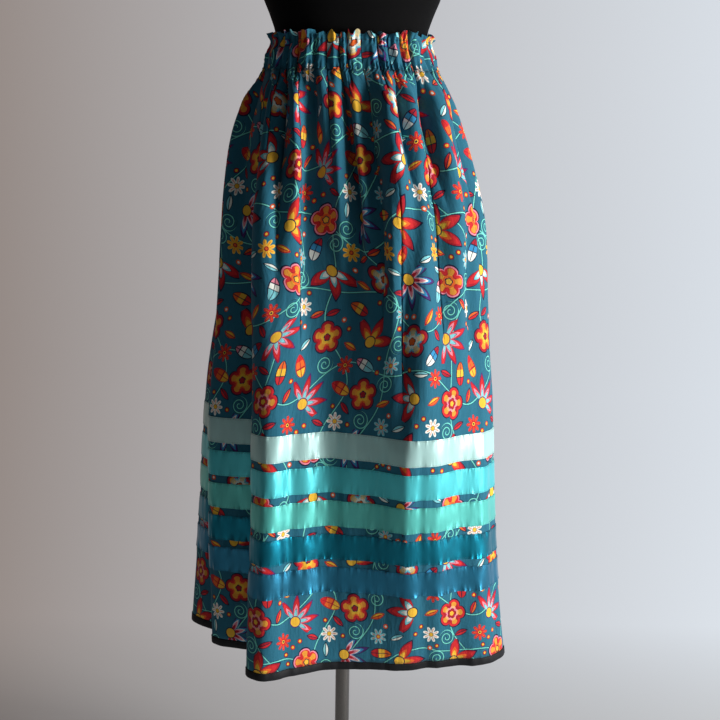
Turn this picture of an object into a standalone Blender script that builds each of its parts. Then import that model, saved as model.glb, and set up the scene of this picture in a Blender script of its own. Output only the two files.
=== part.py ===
"""Ribbon skirt worn on a limbless dress form with a pole and a round foot.

Metres, +Z up, the wearer's front towards -Y. The origin is on the floor, in the middle of the foot's underside.

Every cloth piece is first a flat slab, as it is cut: its X is the place round the skirt (0 to 1 from the left
side seam, over the front), its Y the drop below the waist edge and its Z the height above the cloth's middle
layer. worn() then bends the slab into the hanging skirt.
"""

import math
from typing import NamedTuple

import bmesh
import bpy
import numpy as np

# Skirt, as cut and sewn
WAIST_HEIGHT = 1.240  # the waist edge above the floor
SKIRT_LENGTH = 0.914  # 36 in from the waist edge to the hem, straight down
CASING_DEPTH = 0.050  # folded casing: a ruffled header over a 38 mm elastic
HEADER_DEPTH = 0.009
CASING_MIDDLE = 0.028
RIBBON_COUNT = 5
RIBBON_WIDTH = 0.038  # 1 1/2 in satin ribbon
RIBBON_SPACE = 0.012
FIRST_RIBBON = 0.552  # top edge of the highest ribbon below the waist edge
BINDING_WIDTH = 0.012
CLOTH = 0.0012
RIBBON_CLOTH = 0.0010
BINDING_CLOTH = 0.0026  # two layers of tape with the cloth's edge between them
SEAM_GAP = 0.0004  # between two sewn pieces
CASING_ROUND = 0.9  # length of the gathered cloth round the casing's lower edge

# Gathers
GATHERS = 42
COLUMNS = 2 * GATHERS  # mesh columns round the plain part of the skirt
CASING_FULLNESS = 0.0042  # from the elastic's middle line to the middle of the gathers
FORM_GAP = 0.0006

# Dress form and stand
FORM_CLEARANCE = 0.008  # cloth that lies over the hips
FURROW_CLEARANCE = 0.0026  # its deepest furrows
FORM_SQUARENESS = 2.25
FORM_FACETS = 32
POLE_RADIUS = 0.011
SOCKET_RADIUS = 0.034
SOCKET_HEIGHT = 0.022
FOOT_RADIUS = 0.190
FOOT_HEIGHT = 0.014
FOOT_EDGE = 0.004
COLLAR_RADIUS = 0.021
COLLAR_HEIGHT = 0.042
NECK_CAP_RADIUS = 0.056
NECK_CAP_HEIGHT = 0.012

RIBBON_LEVEL = 0.570  # drop where the ribbon columns of FOLDS hold


class Fold(NamedTuple):
    """One crest, face or trough of the hanging cloth, seen from above, and where it leaves the waist."""

    name: str
    hem_x: float
    hem_y: float
    ribbon_x: float
    ribbon_y: float
    waist_bearing: float  # degrees from the front, towards +X


FOLDS = (
    Fold("left seam face", -0.216, 0.094, -0.203, 0.088, -117),
    Fold("left seam crest", -0.245, 0.062, -0.229, 0.056, -112),
    Fold("left inner face", -0.226, 0.022, -0.217, 0.022, -105),
    Fold("left trough", -0.186, -0.004, -0.182, -0.014, -98),
    Fold("left crest", -0.204, -0.040, -0.204, -0.058, -91),
    Fold("left face", -0.174, -0.063, -0.173, -0.080, -84),
    Fold("left face end", -0.138, -0.070, -0.134, -0.086, -78),
    Fold("deep trough", -0.113, -0.092, -0.108, -0.106, -72),
    Fold("pleat side", -0.126, -0.130, -0.121, -0.140, -67),
    Fold("pleat edge", -0.139, -0.163, -0.133, -0.168, -62),
    Fold("pleat crest", -0.112, -0.186, -0.104, -0.192, -54),
    Fold("pleat fall", -0.068, -0.163, -0.062, -0.170, -42),
    Fold("front trough", -0.030, -0.142, -0.026, -0.154, -29),
    Fold("front rise", 0.016, -0.138, 0.014, -0.167, -13),
    Fold("front shoulder", 0.066, -0.139, 0.058, -0.193, 5),
    Fold("front crest", 0.110, -0.134, 0.098, -0.206, 22),
    Fold("front fall", 0.169, -0.122, 0.150, -0.181, 42),
    Fold("right face", 0.211, -0.110, 0.188, -0.150, 58),
    Fold("right corner", 0.238, -0.088, 0.208, -0.125, 70),
    Fold("right crest", 0.248, -0.060, 0.215, -0.095, 79),
    Fold("right return", 0.238, -0.028, 0.203, -0.062, 87),
    Fold("right trough", 0.207, -0.012, 0.180, -0.040, 94),
    Fold("right back crest", 0.232, 0.032, 0.208, 0.010, 101),
    Fold("right back face", 0.214, 0.066, 0.194, 0.045, 109),
    Fold("back trough 1", 0.168, 0.072, 0.152, 0.062, 117),
    Fold("back crest 1", 0.176, 0.118, 0.162, 0.108, 126),
    Fold("back face 1", 0.146, 0.148, 0.138, 0.138, 135),
    Fold("back trough 2", 0.100, 0.132, 0.094, 0.126, 144),
    Fold("back crest 2", 0.082, 0.176, 0.078, 0.166, 153),
    Fold("back face 2", 0.040, 0.190, 0.038, 0.180, 163),
    Fold("back trough 3", 0.006, 0.156, 0.006, 0.148, 173),
    Fold("back crest 3", -0.032, 0.186, -0.030, 0.178, 184),
    Fold("back face 3", -0.074, 0.184, -0.070, 0.176, 195),
    Fold("back trough 4", -0.102, 0.146, -0.096, 0.140, 205),
    Fold("back crest 4", -0.142, 0.164, -0.134, 0.156, 216),
    Fold("back face 4", -0.172, 0.138, -0.162, 0.132, 226),
    Fold("back trough 5", -0.176, 0.098, -0.166, 0.094, 236),
)


class Spread(NamedTuple):
    """How far the cloth has left the waist's outline for the ribbons' outline at a drop."""

    drop: float
    share: float


SPREADS = (
    Spread(0.000, 0.00),
    Spread(0.030, 0.03),
    Spread(0.050, 0.09),
    Spread(0.065, 0.20),
    Spread(0.094, 0.34),
    Spread(0.122, 0.45),
    Spread(0.150, 0.54),
    Spread(0.180, 0.61),
    Spread(0.238, 0.71),
    Spread(0.348, 0.81),
    Spread(0.450, 0.92),
    Spread(0.520, 0.98),
    Spread(RIBBON_LEVEL, 1.00),
)


class Crease(NamedTuple):
    """A long ridge (height above 0) or furrow (below 0) that runs down the hanging cloth."""

    name: str
    top_place: float
    top_drop: float
    low_place: float
    low_drop: float
    height: float
    half_width: float  # as a share of the round


CREASES = (
    Crease("left seam hollow", 0.020, 0.05, 0.020, 0.60, -0.0075, 0.030),
    Crease("left side furrow", 0.070, 0.07, 0.066, 0.50, -0.004, 0.016),
    Crease("left side ridge", 0.100, 0.07, 0.094, 0.42, 0.004, 0.016),
    Crease("furrow beside the pleat", 0.166, 0.06, 0.148, 0.40, -0.004, 0.014),
    Crease("pleat roll", 0.192, 0.08, 0.188, 0.45, 0.004, 0.016),
    Crease("furrow in the casing's shade", 0.222, 0.05, 0.216, 0.26, -0.004, 0.012),
    Crease("tucked ridge", 0.239, 0.05, 0.238, 0.46, 0.0060, 0.011),
    Crease("tucked furrow", 0.256, 0.06, 0.254, 0.44, -0.0070, 0.012),
    Crease("short ridge", 0.285, 0.04, 0.278, 0.20, 0.004, 0.012),
    Crease("middle ridge", 0.312, 0.05, 0.299, 0.34, 0.0045, 0.012),
    Crease("middle furrow", 0.330, 0.06, 0.316, 0.42, -0.0055, 0.013),
    Crease("second furrow", 0.362, 0.05, 0.348, 0.44, -0.0055, 0.012),
    Crease("second ridge", 0.382, 0.05, 0.366, 0.46, 0.0055, 0.013),
    Crease("low furrow", 0.396, 0.20, 0.374, 0.56, -0.0065, 0.013),
    Crease("low ridge", 0.416, 0.18, 0.400, 0.56, 0.0045, 0.014),
    Crease("deep furrow", 0.448, 0.05, 0.432, 0.46, -0.0080, 0.013),
    Crease("right ridge", 0.468, 0.07, 0.452, 0.46, 0.0050, 0.013),
    Crease("right furrow", 0.488, 0.11, 0.472, 0.54, -0.0055, 0.013),
    Crease("right side ridge", 0.532, 0.08, 0.525, 0.42, 0.004, 0.016),
    Crease("right side furrow", 0.568, 0.08, 0.565, 0.50, -0.004, 0.016),
    Crease("back ridge 1", 0.605, 0.07, 0.610, 0.44, 0.005, 0.014),
    Crease("back furrow 1", 0.632, 0.07, 0.640, 0.52, -0.006, 0.014),
    Crease("back ridge 2", 0.675, 0.06, 0.672, 0.40, 0.005, 0.014),
    Crease("back furrow 2", 0.704, 0.06, 0.718, 0.50, -0.006, 0.014),
    Crease("back ridge 3", 0.742, 0.06, 0.748, 0.46, 0.005, 0.014),
    Crease("back furrow 3", 0.796, 0.06, 0.806, 0.52, -0.006, 0.014),
    Crease("back ridge 4", 0.828, 0.06, 0.838, 0.44, 0.005, 0.014),
    Crease("back furrow 4", 0.882, 0.06, 0.892, 0.50, -0.006, 0.014),
    Crease("back ridge 5", 0.920, 0.06, 0.925, 0.42, 0.005, 0.014),
    Crease("back furrow 5", 0.970, 0.07, 0.977, 0.50, -0.005, 0.016),
)


class Section(NamedTuple):
    """A level section of the dress form."""

    height: float  # above the waist edge
    half_width: float
    front: float
    back: float


FORM_SECTIONS = (
    Section(-0.300, 0.136, 0.092, 0.092),
    Section(-0.288, 0.148, 0.104, 0.106),
    Section(-0.250, 0.154, 0.109, 0.114),
    Section(-0.200, 0.154, 0.109, 0.116),
    Section(-0.150, 0.147, 0.105, 0.110),
    Section(-0.100, 0.133, 0.098, 0.099),
    Section(-CASING_DEPTH, 0.1155, 0.090, 0.088),
    Section(-CASING_MIDDLE, 0.1111, 0.087, 0.084),
    Section(-HEADER_DEPTH, 0.1096, 0.086, 0.082),
    Section(0.000, 0.1097, 0.086, 0.082),
    Section(0.025, 0.1170, 0.090, 0.084),
    Section(0.052, 0.1278, 0.096, 0.087),
    Section(0.100, 0.1410, 0.108, 0.093),
    Section(0.160, 0.1500, 0.121, 0.098),
    Section(0.220, 0.1530, 0.125, 0.100),
    Section(0.280, 0.1560, 0.114, 0.099),
    Section(0.325, 0.1660, 0.096, 0.093),
    Section(0.352, 0.1700, 0.084, 0.085),
    Section(0.372, 0.1580, 0.076, 0.078),
    Section(0.388, 0.1280, 0.069, 0.072),
    Section(0.402, 0.0930, 0.062, 0.065),
    Section(0.416, 0.0700, 0.057, 0.059),
    Section(0.440, 0.0570, 0.053, 0.054),
    Section(0.475, 0.0550, 0.052, 0.053),
)


def curve_through(knots, rows, at):
    """A smooth curve through rows of values at rising knots, which holds still past each end."""
    knots, rows = np.asarray(knots, float), np.asarray(rows, float)
    at = np.clip(np.ravel(at), knots[0], knots[-1])
    slopes = np.gradient(rows, knots, axis=0)
    first = np.clip(np.searchsorted(knots, at, side="right") - 1, 0, len(knots) - 2)
    span = (knots[first + 1] - knots[first])[:, None]
    part = (at - knots[first])[:, None] / span
    return (
        (2 * part**3 - 3 * part**2 + 1) * rows[first]
        + (part**3 - 2 * part**2 + part) * span * slopes[first]
        + (3 * part**2 - 2 * part**3) * rows[first + 1]
        + (part**3 - part**2) * span * slopes[first + 1]
    )


def smooth_step(low, high, value):
    """0 below low, 1 above high, with an even rise between."""
    part = np.clip((value - low) / (high - low), 0, 1)
    return part * part * (3 - 2 * part)


def fold_outlines():
    """The skirt's outlines from above, at even steps of the place round the skirt.

    The place goes half by the cloth's own length and half by the bearing round the waist.
    """
    columns = [(f.hem_x, f.hem_y, f.ribbon_x, f.ribbon_y, f.waist_bearing) for f in FOLDS]
    turned = [(*c[:4], c[4] - 360) for c in columns]
    again = [(*c[:4], c[4] + 360) for c in columns]
    ring = np.array(turned[-2:] + columns + again[:3])
    steps = np.linspace(2, len(columns) + 2, 2400)
    dense = curve_through(np.arange(len(ring)), ring, steps)
    pace = np.hypot(*np.diff(dense[:, 2:4], axis=0).T) + np.hypot(*np.diff(dense[:, :2], axis=0).T)
    length = np.concatenate([[0], np.cumsum(pace)])
    share = length / length[-1]
    bearing = (dense[:, 4] - dense[0, 4]) / 360
    place = (share + bearing) / 2
    return place, dense, share


PLACES, OUTLINES, CLOTH_SHARES = fold_outlines()


def at_place(place, values):
    """Values of the outline tables at a place round the skirt, which may run past 0 or 1."""
    return np.interp(np.mod(place, 1), PLACES, values)


def bearing_at(place):
    """The bearing round the waist in radians, unbroken past a full turn."""
    return np.radians(at_place(place, OUTLINES[:, 4]) + 360 * np.floor(place))


def form_radius(bearing, height):
    """How far the dress form's surface is from its axis, at a height above the waist edge."""
    heights = [s.height for s in FORM_SECTIONS]
    sizes = curve_through(heights, [s[1:] for s in FORM_SECTIONS], height)
    width, front, back = (v.reshape(np.shape(height)) for v in sizes.T)
    across, along = np.abs(np.sin(bearing)), np.cos(bearing)
    depth = np.where(along > 0, front, back)
    ratio = (across / width) ** FORM_SQUARENESS + (np.abs(along) / depth) ** FORM_SQUARENESS
    return ratio ** (-1 / FORM_SQUARENESS)


def gather_wave(place, drop):
    """Height of the gathers over the smooth cloth. They pair up below the casing and then die out."""
    phase = 2 * math.pi * GATHERS * (place - 0.02)
    uneven = 1 + 0.25 * np.sin(2 * math.pi * 5 * place + 0.4) + 0.15 * np.sin(2 * math.pi * 13 * place)
    header = 0.0032 * (1 - smooth_step(0, HEADER_DEPTH, drop))
    casing = 0.0023 * (1 - smooth_step(CASING_DEPTH + 0.06, CASING_DEPTH + 0.16, drop))
    below = 0.0017 * smooth_step(CASING_DEPTH, CASING_DEPTH + 0.02, drop)
    below = below * (1 - smooth_step(CASING_DEPTH + 0.04, CASING_DEPTH + 0.13, drop))
    paired = 0.0048 * smooth_step(CASING_DEPTH, CASING_DEPTH + 0.06, drop)
    paired = paired * (1 - smooth_step(0.18, 0.42, drop))
    return uneven * ((header + casing + below) * np.sin(phase) + paired * np.sin(phase / 2 + 0.9))


def crease_height(place, drop):
    """Height of the long creases over the smooth cloth."""
    total = np.zeros_like(drop)
    for crease in CREASES:
        down = (drop - crease.top_drop) / (crease.low_drop - crease.top_drop)
        line = crease.top_place + (crease.low_place - crease.top_place) * np.clip(down, 0, 1)
        beside = (np.mod(place - line + 0.5, 1) - 0.5) / crease.half_width
        along = smooth_step(-0.06, 0.22, down) * (1 - smooth_step(0.55, 1.15, down))
        total = total + crease.height * along * np.exp(-beside * beside)
    return total


def clear_of_form(point, drop, first_drop, clearance, softness):
    """Pushes the cloth below a drop out to a clearance from the form, with a soft change."""
    x, y = point[..., 0], point[..., 1]
    reach = np.hypot(x, y)
    lowest = FORM_SECTIONS[0].height
    body = form_radius(np.arctan2(x, -y), np.maximum(-drop, lowest)) + clearance
    over = smooth_step(first_drop, first_drop + 0.03, drop) * (1 - smooth_step(-lowest, 0.5, drop))
    short = np.logaddexp(0, (body - reach) / softness) * softness * over
    grow = 1 + short / reach
    return point * np.stack([grow, grow, np.ones_like(grow)], axis=-1)


def smooth_cloth(place, drop):
    """The hanging cloth's middle layer without its gathers."""
    bearing = bearing_at(place)
    height = -np.minimum(drop, CASING_DEPTH)
    waist = form_radius(bearing, height) + CASING_FULLNESS
    waist_x, waist_y = waist * np.sin(bearing), -waist * np.cos(bearing)
    spread = curve_through([s.drop for s in SPREADS], [[s.share] for s in SPREADS], drop)
    share = spread.reshape(np.shape(drop))
    hem_x, hem_y, ribbon_x, ribbon_y = (at_place(place, OUTLINES[:, i]) for i in range(4))
    down = np.clip((drop - RIBBON_LEVEL) / (SKIRT_LENGTH - RIBBON_LEVEL), 0, 1) ** 1.5
    low_x, low_y = ribbon_x + (hem_x - ribbon_x) * down, ribbon_y + (hem_y - ribbon_y) * down
    x, y = waist_x + (low_x - waist_x) * share, waist_y + (low_y - waist_y) * share
    point = np.stack([x, y, WAIST_HEIGHT - drop], axis=-1)
    return clear_of_form(point, drop, CASING_DEPTH, FORM_CLEARANCE, 0.004)


def outward(place, drop, surface, step=1e-4):
    """Unit normals of a surface given by place and drop, pointing away from the wearer."""
    around = surface(place + step, drop) - surface(place - step, drop)
    down = surface(place, drop + step) - surface(place, drop - step)
    normal = np.cross(down, around)
    return normal / np.linalg.norm(normal, axis=-1, keepdims=True)


def gathered_cloth(place, drop):
    """The middle layer of the cloth with its gathers and creases."""
    wave = (gather_wave(place, drop) + crease_height(place, drop))[..., None]
    point = smooth_cloth(place, drop) + wave * outward(place, drop, smooth_cloth)
    return clear_of_form(point, drop, -0.03, FURROW_CLEARANCE, 0.0008)


def worn(flat):
    """Bends flat slab points (place, drop, height over the middle layer) into the hanging skirt.

    The cloth's edges are level at the seam below the casing.
    """
    place, drop, lift = flat.T
    normal = outward(place, drop, gathered_cloth)
    normal[:, 2] *= smooth_step(0.001, 0.012, np.abs(drop - CASING_DEPTH))
    normal /= np.linalg.norm(normal, axis=-1, keepdims=True)
    return gathered_cloth(place, drop) + lift[:, None] * normal


def worn_casing(flat):
    """The casing: gathered outside, with the elastic pulling its inside flat onto the form."""
    outside = worn(flat)
    place, drop, lift = flat.T
    bearing = bearing_at(place)
    radius = form_radius(bearing, -drop) + FORM_GAP
    inside = np.stack([radius * np.sin(bearing), -radius * np.cos(bearing), WAIST_HEIGHT - drop], axis=-1)
    return np.where(lift[:, None] > 0, outside, inside)


def new_object(name, mesh, material, collection):
    """Links a mesh as a named object with its material."""
    item = bpy.data.objects.new(name, mesh)
    mesh.materials.append(material)
    collection.objects.link(item)
    return item


def make_material(name, colour, roughness, metallic=0.0):
    """A plain Principled finish."""
    material = bpy.data.materials.new(name)
    material.use_nodes = True
    shader = material.node_tree.nodes["Principled BSDF"]
    shader.inputs["Base Color"].default_value = (*colour, 1.0)
    shader.inputs["Roughness"].default_value = roughness
    shader.inputs["Metallic"].default_value = metallic
    return material


def cloth_piece(name, places, drops, lifts, columns, fine_above, shape, material, collection):
    """Cuts a flat slab, bends it with shape() and links it as a named object.

    Above the drop fine_above the columns are doubled for the gathers. A piece that runs from place 0 to 1 is
    a closed ring, and any other stops half a seam short of each end.
    """
    ring = places[1] - places[0] > 0.999
    margin = 0 if ring else SEAM_GAP / 2 / CASING_ROUND
    bm = bmesh.new()
    bmesh.ops.create_grid(bm, x_segments=columns, y_segments=len(drops) - 1, size=1.0)
    rows = sorted({round(v.co.y, 5) for v in bm.verts}, reverse=True)
    drop_of = dict(zip(rows, drops))
    for vert in bm.verts:
        vert.co.x = places[0] + (places[1] - places[0]) * (vert.co.x + 1) / 2
        vert.co.y = drop_of[round(vert.co.y, 5)]
    fine = [
        e for e in bm.edges
        if abs(e.verts[0].co.y - e.verts[1].co.y) < 1e-7 and e.verts[0].co.y < fine_above
    ]
    if fine:
        bmesh.ops.subdivide_edges(bm, edges=fine, cuts=1)
    bmesh.ops.triangulate(bm, faces=bm.faces, quad_method="FIXED")
    for vert in bm.verts:
        vert.co.z = lifts[0]
    top = bmesh.ops.extrude_face_region(bm, geom=list(bm.faces))
    for item in top["geom"]:
        if isinstance(item, bmesh.types.BMVert):
            item.co.z = lifts[1]
    bmesh.ops.recalc_face_normals(bm, faces=bm.faces)
    bmesh.ops.reverse_faces(bm, faces=bm.faces)  # place and drop turn the slab into its mirror image
    if ring:
        ends = [f for f in bm.faces if len({round(v.co.x, 6) for v in f.verts}) == 1]
        bmesh.ops.delete(bm, geom=ends, context="FACES_ONLY")
    flat = np.array([tuple(v.co) for v in bm.verts])
    flat[:, 0] = np.clip(flat[:, 0], places[0] + margin, places[1] - margin)
    for vert, point in zip(bm.verts, shape(flat)):
        vert.co = point
    if ring:
        bmesh.ops.remove_doubles(bm, verts=bm.verts, dist=1e-5)
    mesh = bpy.data.meshes.new(name)
    bm.to_mesh(mesh)
    bm.free()
    mesh.shade_smooth()
    mesh.set_sharp_from_angle(angle=math.radians(60))
    new_object(name, mesh, material, collection)


def ribbon_edges():
    """The top and bottom drop of each ribbon."""
    pitch = RIBBON_WIDTH + RIBBON_SPACE
    return [(FIRST_RIBBON + i * pitch, FIRST_RIBBON + i * pitch + RIBBON_WIDTH) for i in range(RIBBON_COUNT)]


def build_casing(material, collection):
    """The folded waist casing with its ruffled header, one ring."""
    drops = (0.0, HEADER_DEPTH, CASING_MIDDLE, CASING_DEPTH)
    lifts = (-CLOTH / 2, CLOTH / 2)
    cloth_piece("waist_casing", (0, 1), drops, lifts, COLUMNS, 1.0, worn_casing, material, collection)


def build_panels(material, collection):
    """Front and back panels, from the casing's seam to the binding, a seam apart at each side."""
    high = (CASING_DEPTH + SEAM_GAP, 0.078, 0.120, 0.180, 0.270)
    middle = (0.380, 0.470)
    ribbons = [drop for edges in ribbon_edges() for drop in edges]
    low = (0.850, SKIRT_LENGTH - BINDING_WIDTH - SEAM_GAP)
    drops = (*high, *middle, *ribbons, *low)
    lifts = (-CLOTH / 2, CLOTH / 2)
    for name, start in (("front_panel", 0.0), ("back_panel", 0.5)):
        cloth_piece(name, (start, start + 0.5), drops, lifts, COLUMNS // 2, 0.260, worn, material, collection)


def build_ribbons(materials, collection):
    """Five ribbons sewn round the panels, from light to dark."""
    low = CLOTH / 2 + SEAM_GAP
    lifts = (low, low + RIBBON_CLOTH)
    for number, (edges, material) in enumerate(zip(ribbon_edges(), materials), start=1):
        cloth_piece(f"ribbon_{number}", (0, 1), edges, lifts, COLUMNS, 0, worn, material, collection)


def build_binding(material, collection):
    """The folded tape round the hem."""
    drops = (SKIRT_LENGTH - BINDING_WIDTH, SKIRT_LENGTH)
    lifts = (-BINDING_CLOTH / 2, BINDING_CLOTH / 2)
    cloth_piece("hem_binding", (0, 1), drops, lifts, COLUMNS, 0, worn, material, collection)


def build_form(material, collection):
    """The limbless torso as a loft through its sections, closed flat at the hips and the neck."""
    bm = bmesh.new()
    rings = []
    for section in FORM_SECTIONS:
        made = bmesh.ops.create_circle(bm, cap_ends=False, segments=FORM_FACETS, radius=1.0)["verts"]
        for number, vert in enumerate(made):
            bearing = 2 * math.pi * number / FORM_FACETS
            radius = float(form_radius(bearing, section.height))
            vert.co = (
                radius * math.sin(bearing), -radius * math.cos(bearing), WAIST_HEIGHT + section.height)
        rings.append([e for e in bm.edges if e.verts[0] in made and e.verts[1] in made])
    for lower, upper in zip(rings, rings[1:]):
        bmesh.ops.bridge_loops(bm, edges=lower + upper)
    for end in (rings[0], rings[-1]):
        bmesh.ops.edgeloop_fill(bm, edges=end)
    bmesh.ops.recalc_face_normals(bm, faces=bm.faces)
    mesh = bpy.data.meshes.new("torso_form")
    bm.to_mesh(mesh)
    bm.free()
    mesh.shade_smooth()
    mesh.set_sharp_from_angle(angle=math.radians(60))
    new_object("torso_form", mesh, material, collection)


def turned(name, profile, segments, material, collection):
    """A turned solid from (radius, height) points that run down its outside."""
    mesh = bpy.data.meshes.new(name)
    edges = [(i, i + 1) for i in range(len(profile) - 1)]
    mesh.from_pydata([(radius, 0.0, height) for radius, height in profile], edges, [])
    item = new_object(name, mesh, material, collection)
    screw = item.modifiers.new("Turn", "SCREW")
    screw.steps = screw.render_steps = segments
    screw.use_merge_vertices = True
    screw.merge_threshold = 1e-5


def build_stand(metal, collection):
    """Socket under the hips, pole, collar and round foot."""
    form_bottom = WAIST_HEIGHT + FORM_SECTIONS[0].height
    socket_top = form_bottom - SEAM_GAP
    socket_low = socket_top - SOCKET_HEIGHT
    turned("pole_socket", [
        (0, socket_top), (SOCKET_RADIUS, socket_top), (SOCKET_RADIUS, socket_top - 0.006),
        (SOCKET_RADIUS * 0.6, socket_top - 0.009), (SOCKET_RADIUS * 0.6, socket_low), (0, socket_low),
    ], 32, metal, collection)
    pole_low = FOOT_HEIGHT + SEAM_GAP
    pole_high = socket_low - SEAM_GAP
    turned("pole", [(0, pole_high), (POLE_RADIUS, pole_high), (POLE_RADIUS, pole_low), (0, pole_low)],
           28, metal, collection)
    bore = POLE_RADIUS + SEAM_GAP
    collar_top = pole_low + COLLAR_HEIGHT
    turned("foot_collar", [
        (bore, collar_top), (COLLAR_RADIUS - 0.003, collar_top), (COLLAR_RADIUS, collar_top - 0.003),
        (COLLAR_RADIUS, pole_low), (bore, pole_low), (bore, collar_top),
    ], 28, metal, collection)
    turned("foot", [
        (0, FOOT_HEIGHT), (FOOT_RADIUS - FOOT_EDGE, FOOT_HEIGHT - 0.002), (FOOT_RADIUS, FOOT_HEIGHT - 0.006),
        (FOOT_RADIUS, 0), (0, 0),
    ], 48, metal, collection)


def build_neck_cap(material, collection):
    """A flat cap over the form's neck."""
    low = WAIST_HEIGHT + FORM_SECTIONS[-1].height + SEAM_GAP
    top = low + NECK_CAP_HEIGHT
    radius = NECK_CAP_RADIUS
    turned("neck_cap", [(0, top), (radius - 0.006, top), (radius, top - 0.005), (radius, low), (0, low)],
           36, material, collection)


def clear_scene():
    """Removes what the file starts with."""
    for item in list(bpy.data.objects):
        bpy.data.objects.remove(item, do_unlink=True)


def main():
    clear_scene()
    collection = bpy.data.collections.new("ribbon_skirt")
    bpy.context.scene.collection.children.link(collection)
    print_cotton = make_material("print_cotton", (0.03, 0.17, 0.24), 0.8)
    ribbon_colours = (
        ("ribbon_mint", (0.45, 0.76, 0.72)),
        ("ribbon_aqua", (0.05, 0.47, 0.52)),
        ("ribbon_turquoise", (0.08, 0.45, 0.46)),
        ("ribbon_teal", (0.01, 0.22, 0.29)),
        ("ribbon_petrol", (0.02, 0.11, 0.18)),
    )
    ribbons = [make_material(name, colour, 0.35) for name, colour in ribbon_colours]
    tape = make_material("binding_black", (0.01, 0.01, 0.012), 0.7)
    jersey = make_material("form_jersey", (0.012, 0.012, 0.013), 0.85)
    metal = make_material("stand_metal", (0.42, 0.41, 0.40), 0.3, 1.0)
    build_casing(print_cotton, collection)
    build_panels(print_cotton, collection)
    build_ribbons(ribbons, collection)
    build_binding(tape, collection)
    build_form(jersey, collection)
    build_neck_cap(metal, collection)
    build_stand(metal, collection)


main()
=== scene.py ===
"""Looks of a gathered ribbon skirt on a limbless torso form with a pole and a round foot.

Metres, +Z up, the skirt's front towards -Y. A point of the cloth is named by its drop below the waist edge,
and by its place round the skirt as a share of the round, or by its length along the flat cloth. Places and
lengths both start at the left side seam and run over the front first.
"""

import logging
import math
from dataclasses import dataclass, field
from enum import Enum
from typing import Callable, Mapping, Sequence

import bmesh
import bpy
import numpy as np
from mathutils import Matrix, Vector


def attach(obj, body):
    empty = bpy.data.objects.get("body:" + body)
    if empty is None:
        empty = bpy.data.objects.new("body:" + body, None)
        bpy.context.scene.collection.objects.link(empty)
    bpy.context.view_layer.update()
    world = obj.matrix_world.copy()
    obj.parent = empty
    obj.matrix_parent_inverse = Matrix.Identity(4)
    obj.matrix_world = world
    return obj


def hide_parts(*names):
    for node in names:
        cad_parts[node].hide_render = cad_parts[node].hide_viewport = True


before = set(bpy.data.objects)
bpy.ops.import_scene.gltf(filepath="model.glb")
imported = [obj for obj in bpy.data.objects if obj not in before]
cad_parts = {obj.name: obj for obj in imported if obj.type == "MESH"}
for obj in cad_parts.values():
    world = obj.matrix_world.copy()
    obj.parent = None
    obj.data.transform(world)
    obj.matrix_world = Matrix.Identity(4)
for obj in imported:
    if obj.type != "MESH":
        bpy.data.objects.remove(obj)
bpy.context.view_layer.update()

log = logging.getLogger("ribbon_skirt")
ROOT = "root"
SHARP_ANGLE = math.radians(50)  # edges sharper than this stay sharp in smooth shading
WELD = 1e-6
TAU = 2 * math.pi
WAIST_HEIGHT = 1.240
Waves = tuple[tuple[float, int, float], ...]  # height, turns a round and phase in radians
Point = tuple[float, float, float]
Profile = Sequence[tuple[float, float]]
Colour = tuple[float, float, float]
Settings = Mapping[str, object]
Inputs = Mapping[int | str, object]
Socket = bpy.types.NodeSocket
Material = bpy.types.Material
Piece = bpy.types.Object


@dataclass(frozen=True)
class Fold:
    """A crest, face or trough of the cloth seen from above, and its bearing in degrees at the waist."""

    hem_x: float
    hem_y: float
    ribbon_x: float
    ribbon_y: float
    waist_bearing: float


@dataclass(frozen=True)
class Crease:
    """A ridge, or a furrow where height is below 0, that runs down the cloth."""

    top_place: float
    top_drop: float
    low_place: float
    low_drop: float
    height: float
    half_width: float

    def relief(self, place: np.ndarray, drop: np.ndarray) -> np.ndarray:
        """Works out how far the crease stands out at a row of places and a column of drops.

        Args:
            place: A row of places round the skirt.
            drop: A column of drops.

        Returns:
            Heights in metres, below 0 in a furrow.
        """
        from_waist = self.top_drop < 0.4
        power = 1.6 if from_waist else 2.0
        down = (drop - self.top_drop) / (self.low_drop - self.top_drop)
        line = self.top_place + (self.low_place - self.top_place) * np.clip(down, 0, 1)
        beside = (np.mod(place - line + 0.5, 1) - 0.5) / self.half_width
        along = smooth_step(-0.06, 0.22, down) * (1 - smooth_step(0.55, 1.15, down))
        return self.height * along * np.exp(-(np.abs(beside) ** power))


@dataclass(frozen=True)
class Tuck:
    """A line where cloth is folded out of sight: the most it hides, and where it opens out again."""

    top_place: float
    low_place: float
    hidden: float
    from_drop: float
    to_drop: float


@dataclass(frozen=True)
class Section:
    """A level section of the torso form: height over the waist edge, half width, and reach front and back."""

    height: float
    half_width: float
    front: float
    back: float


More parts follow.
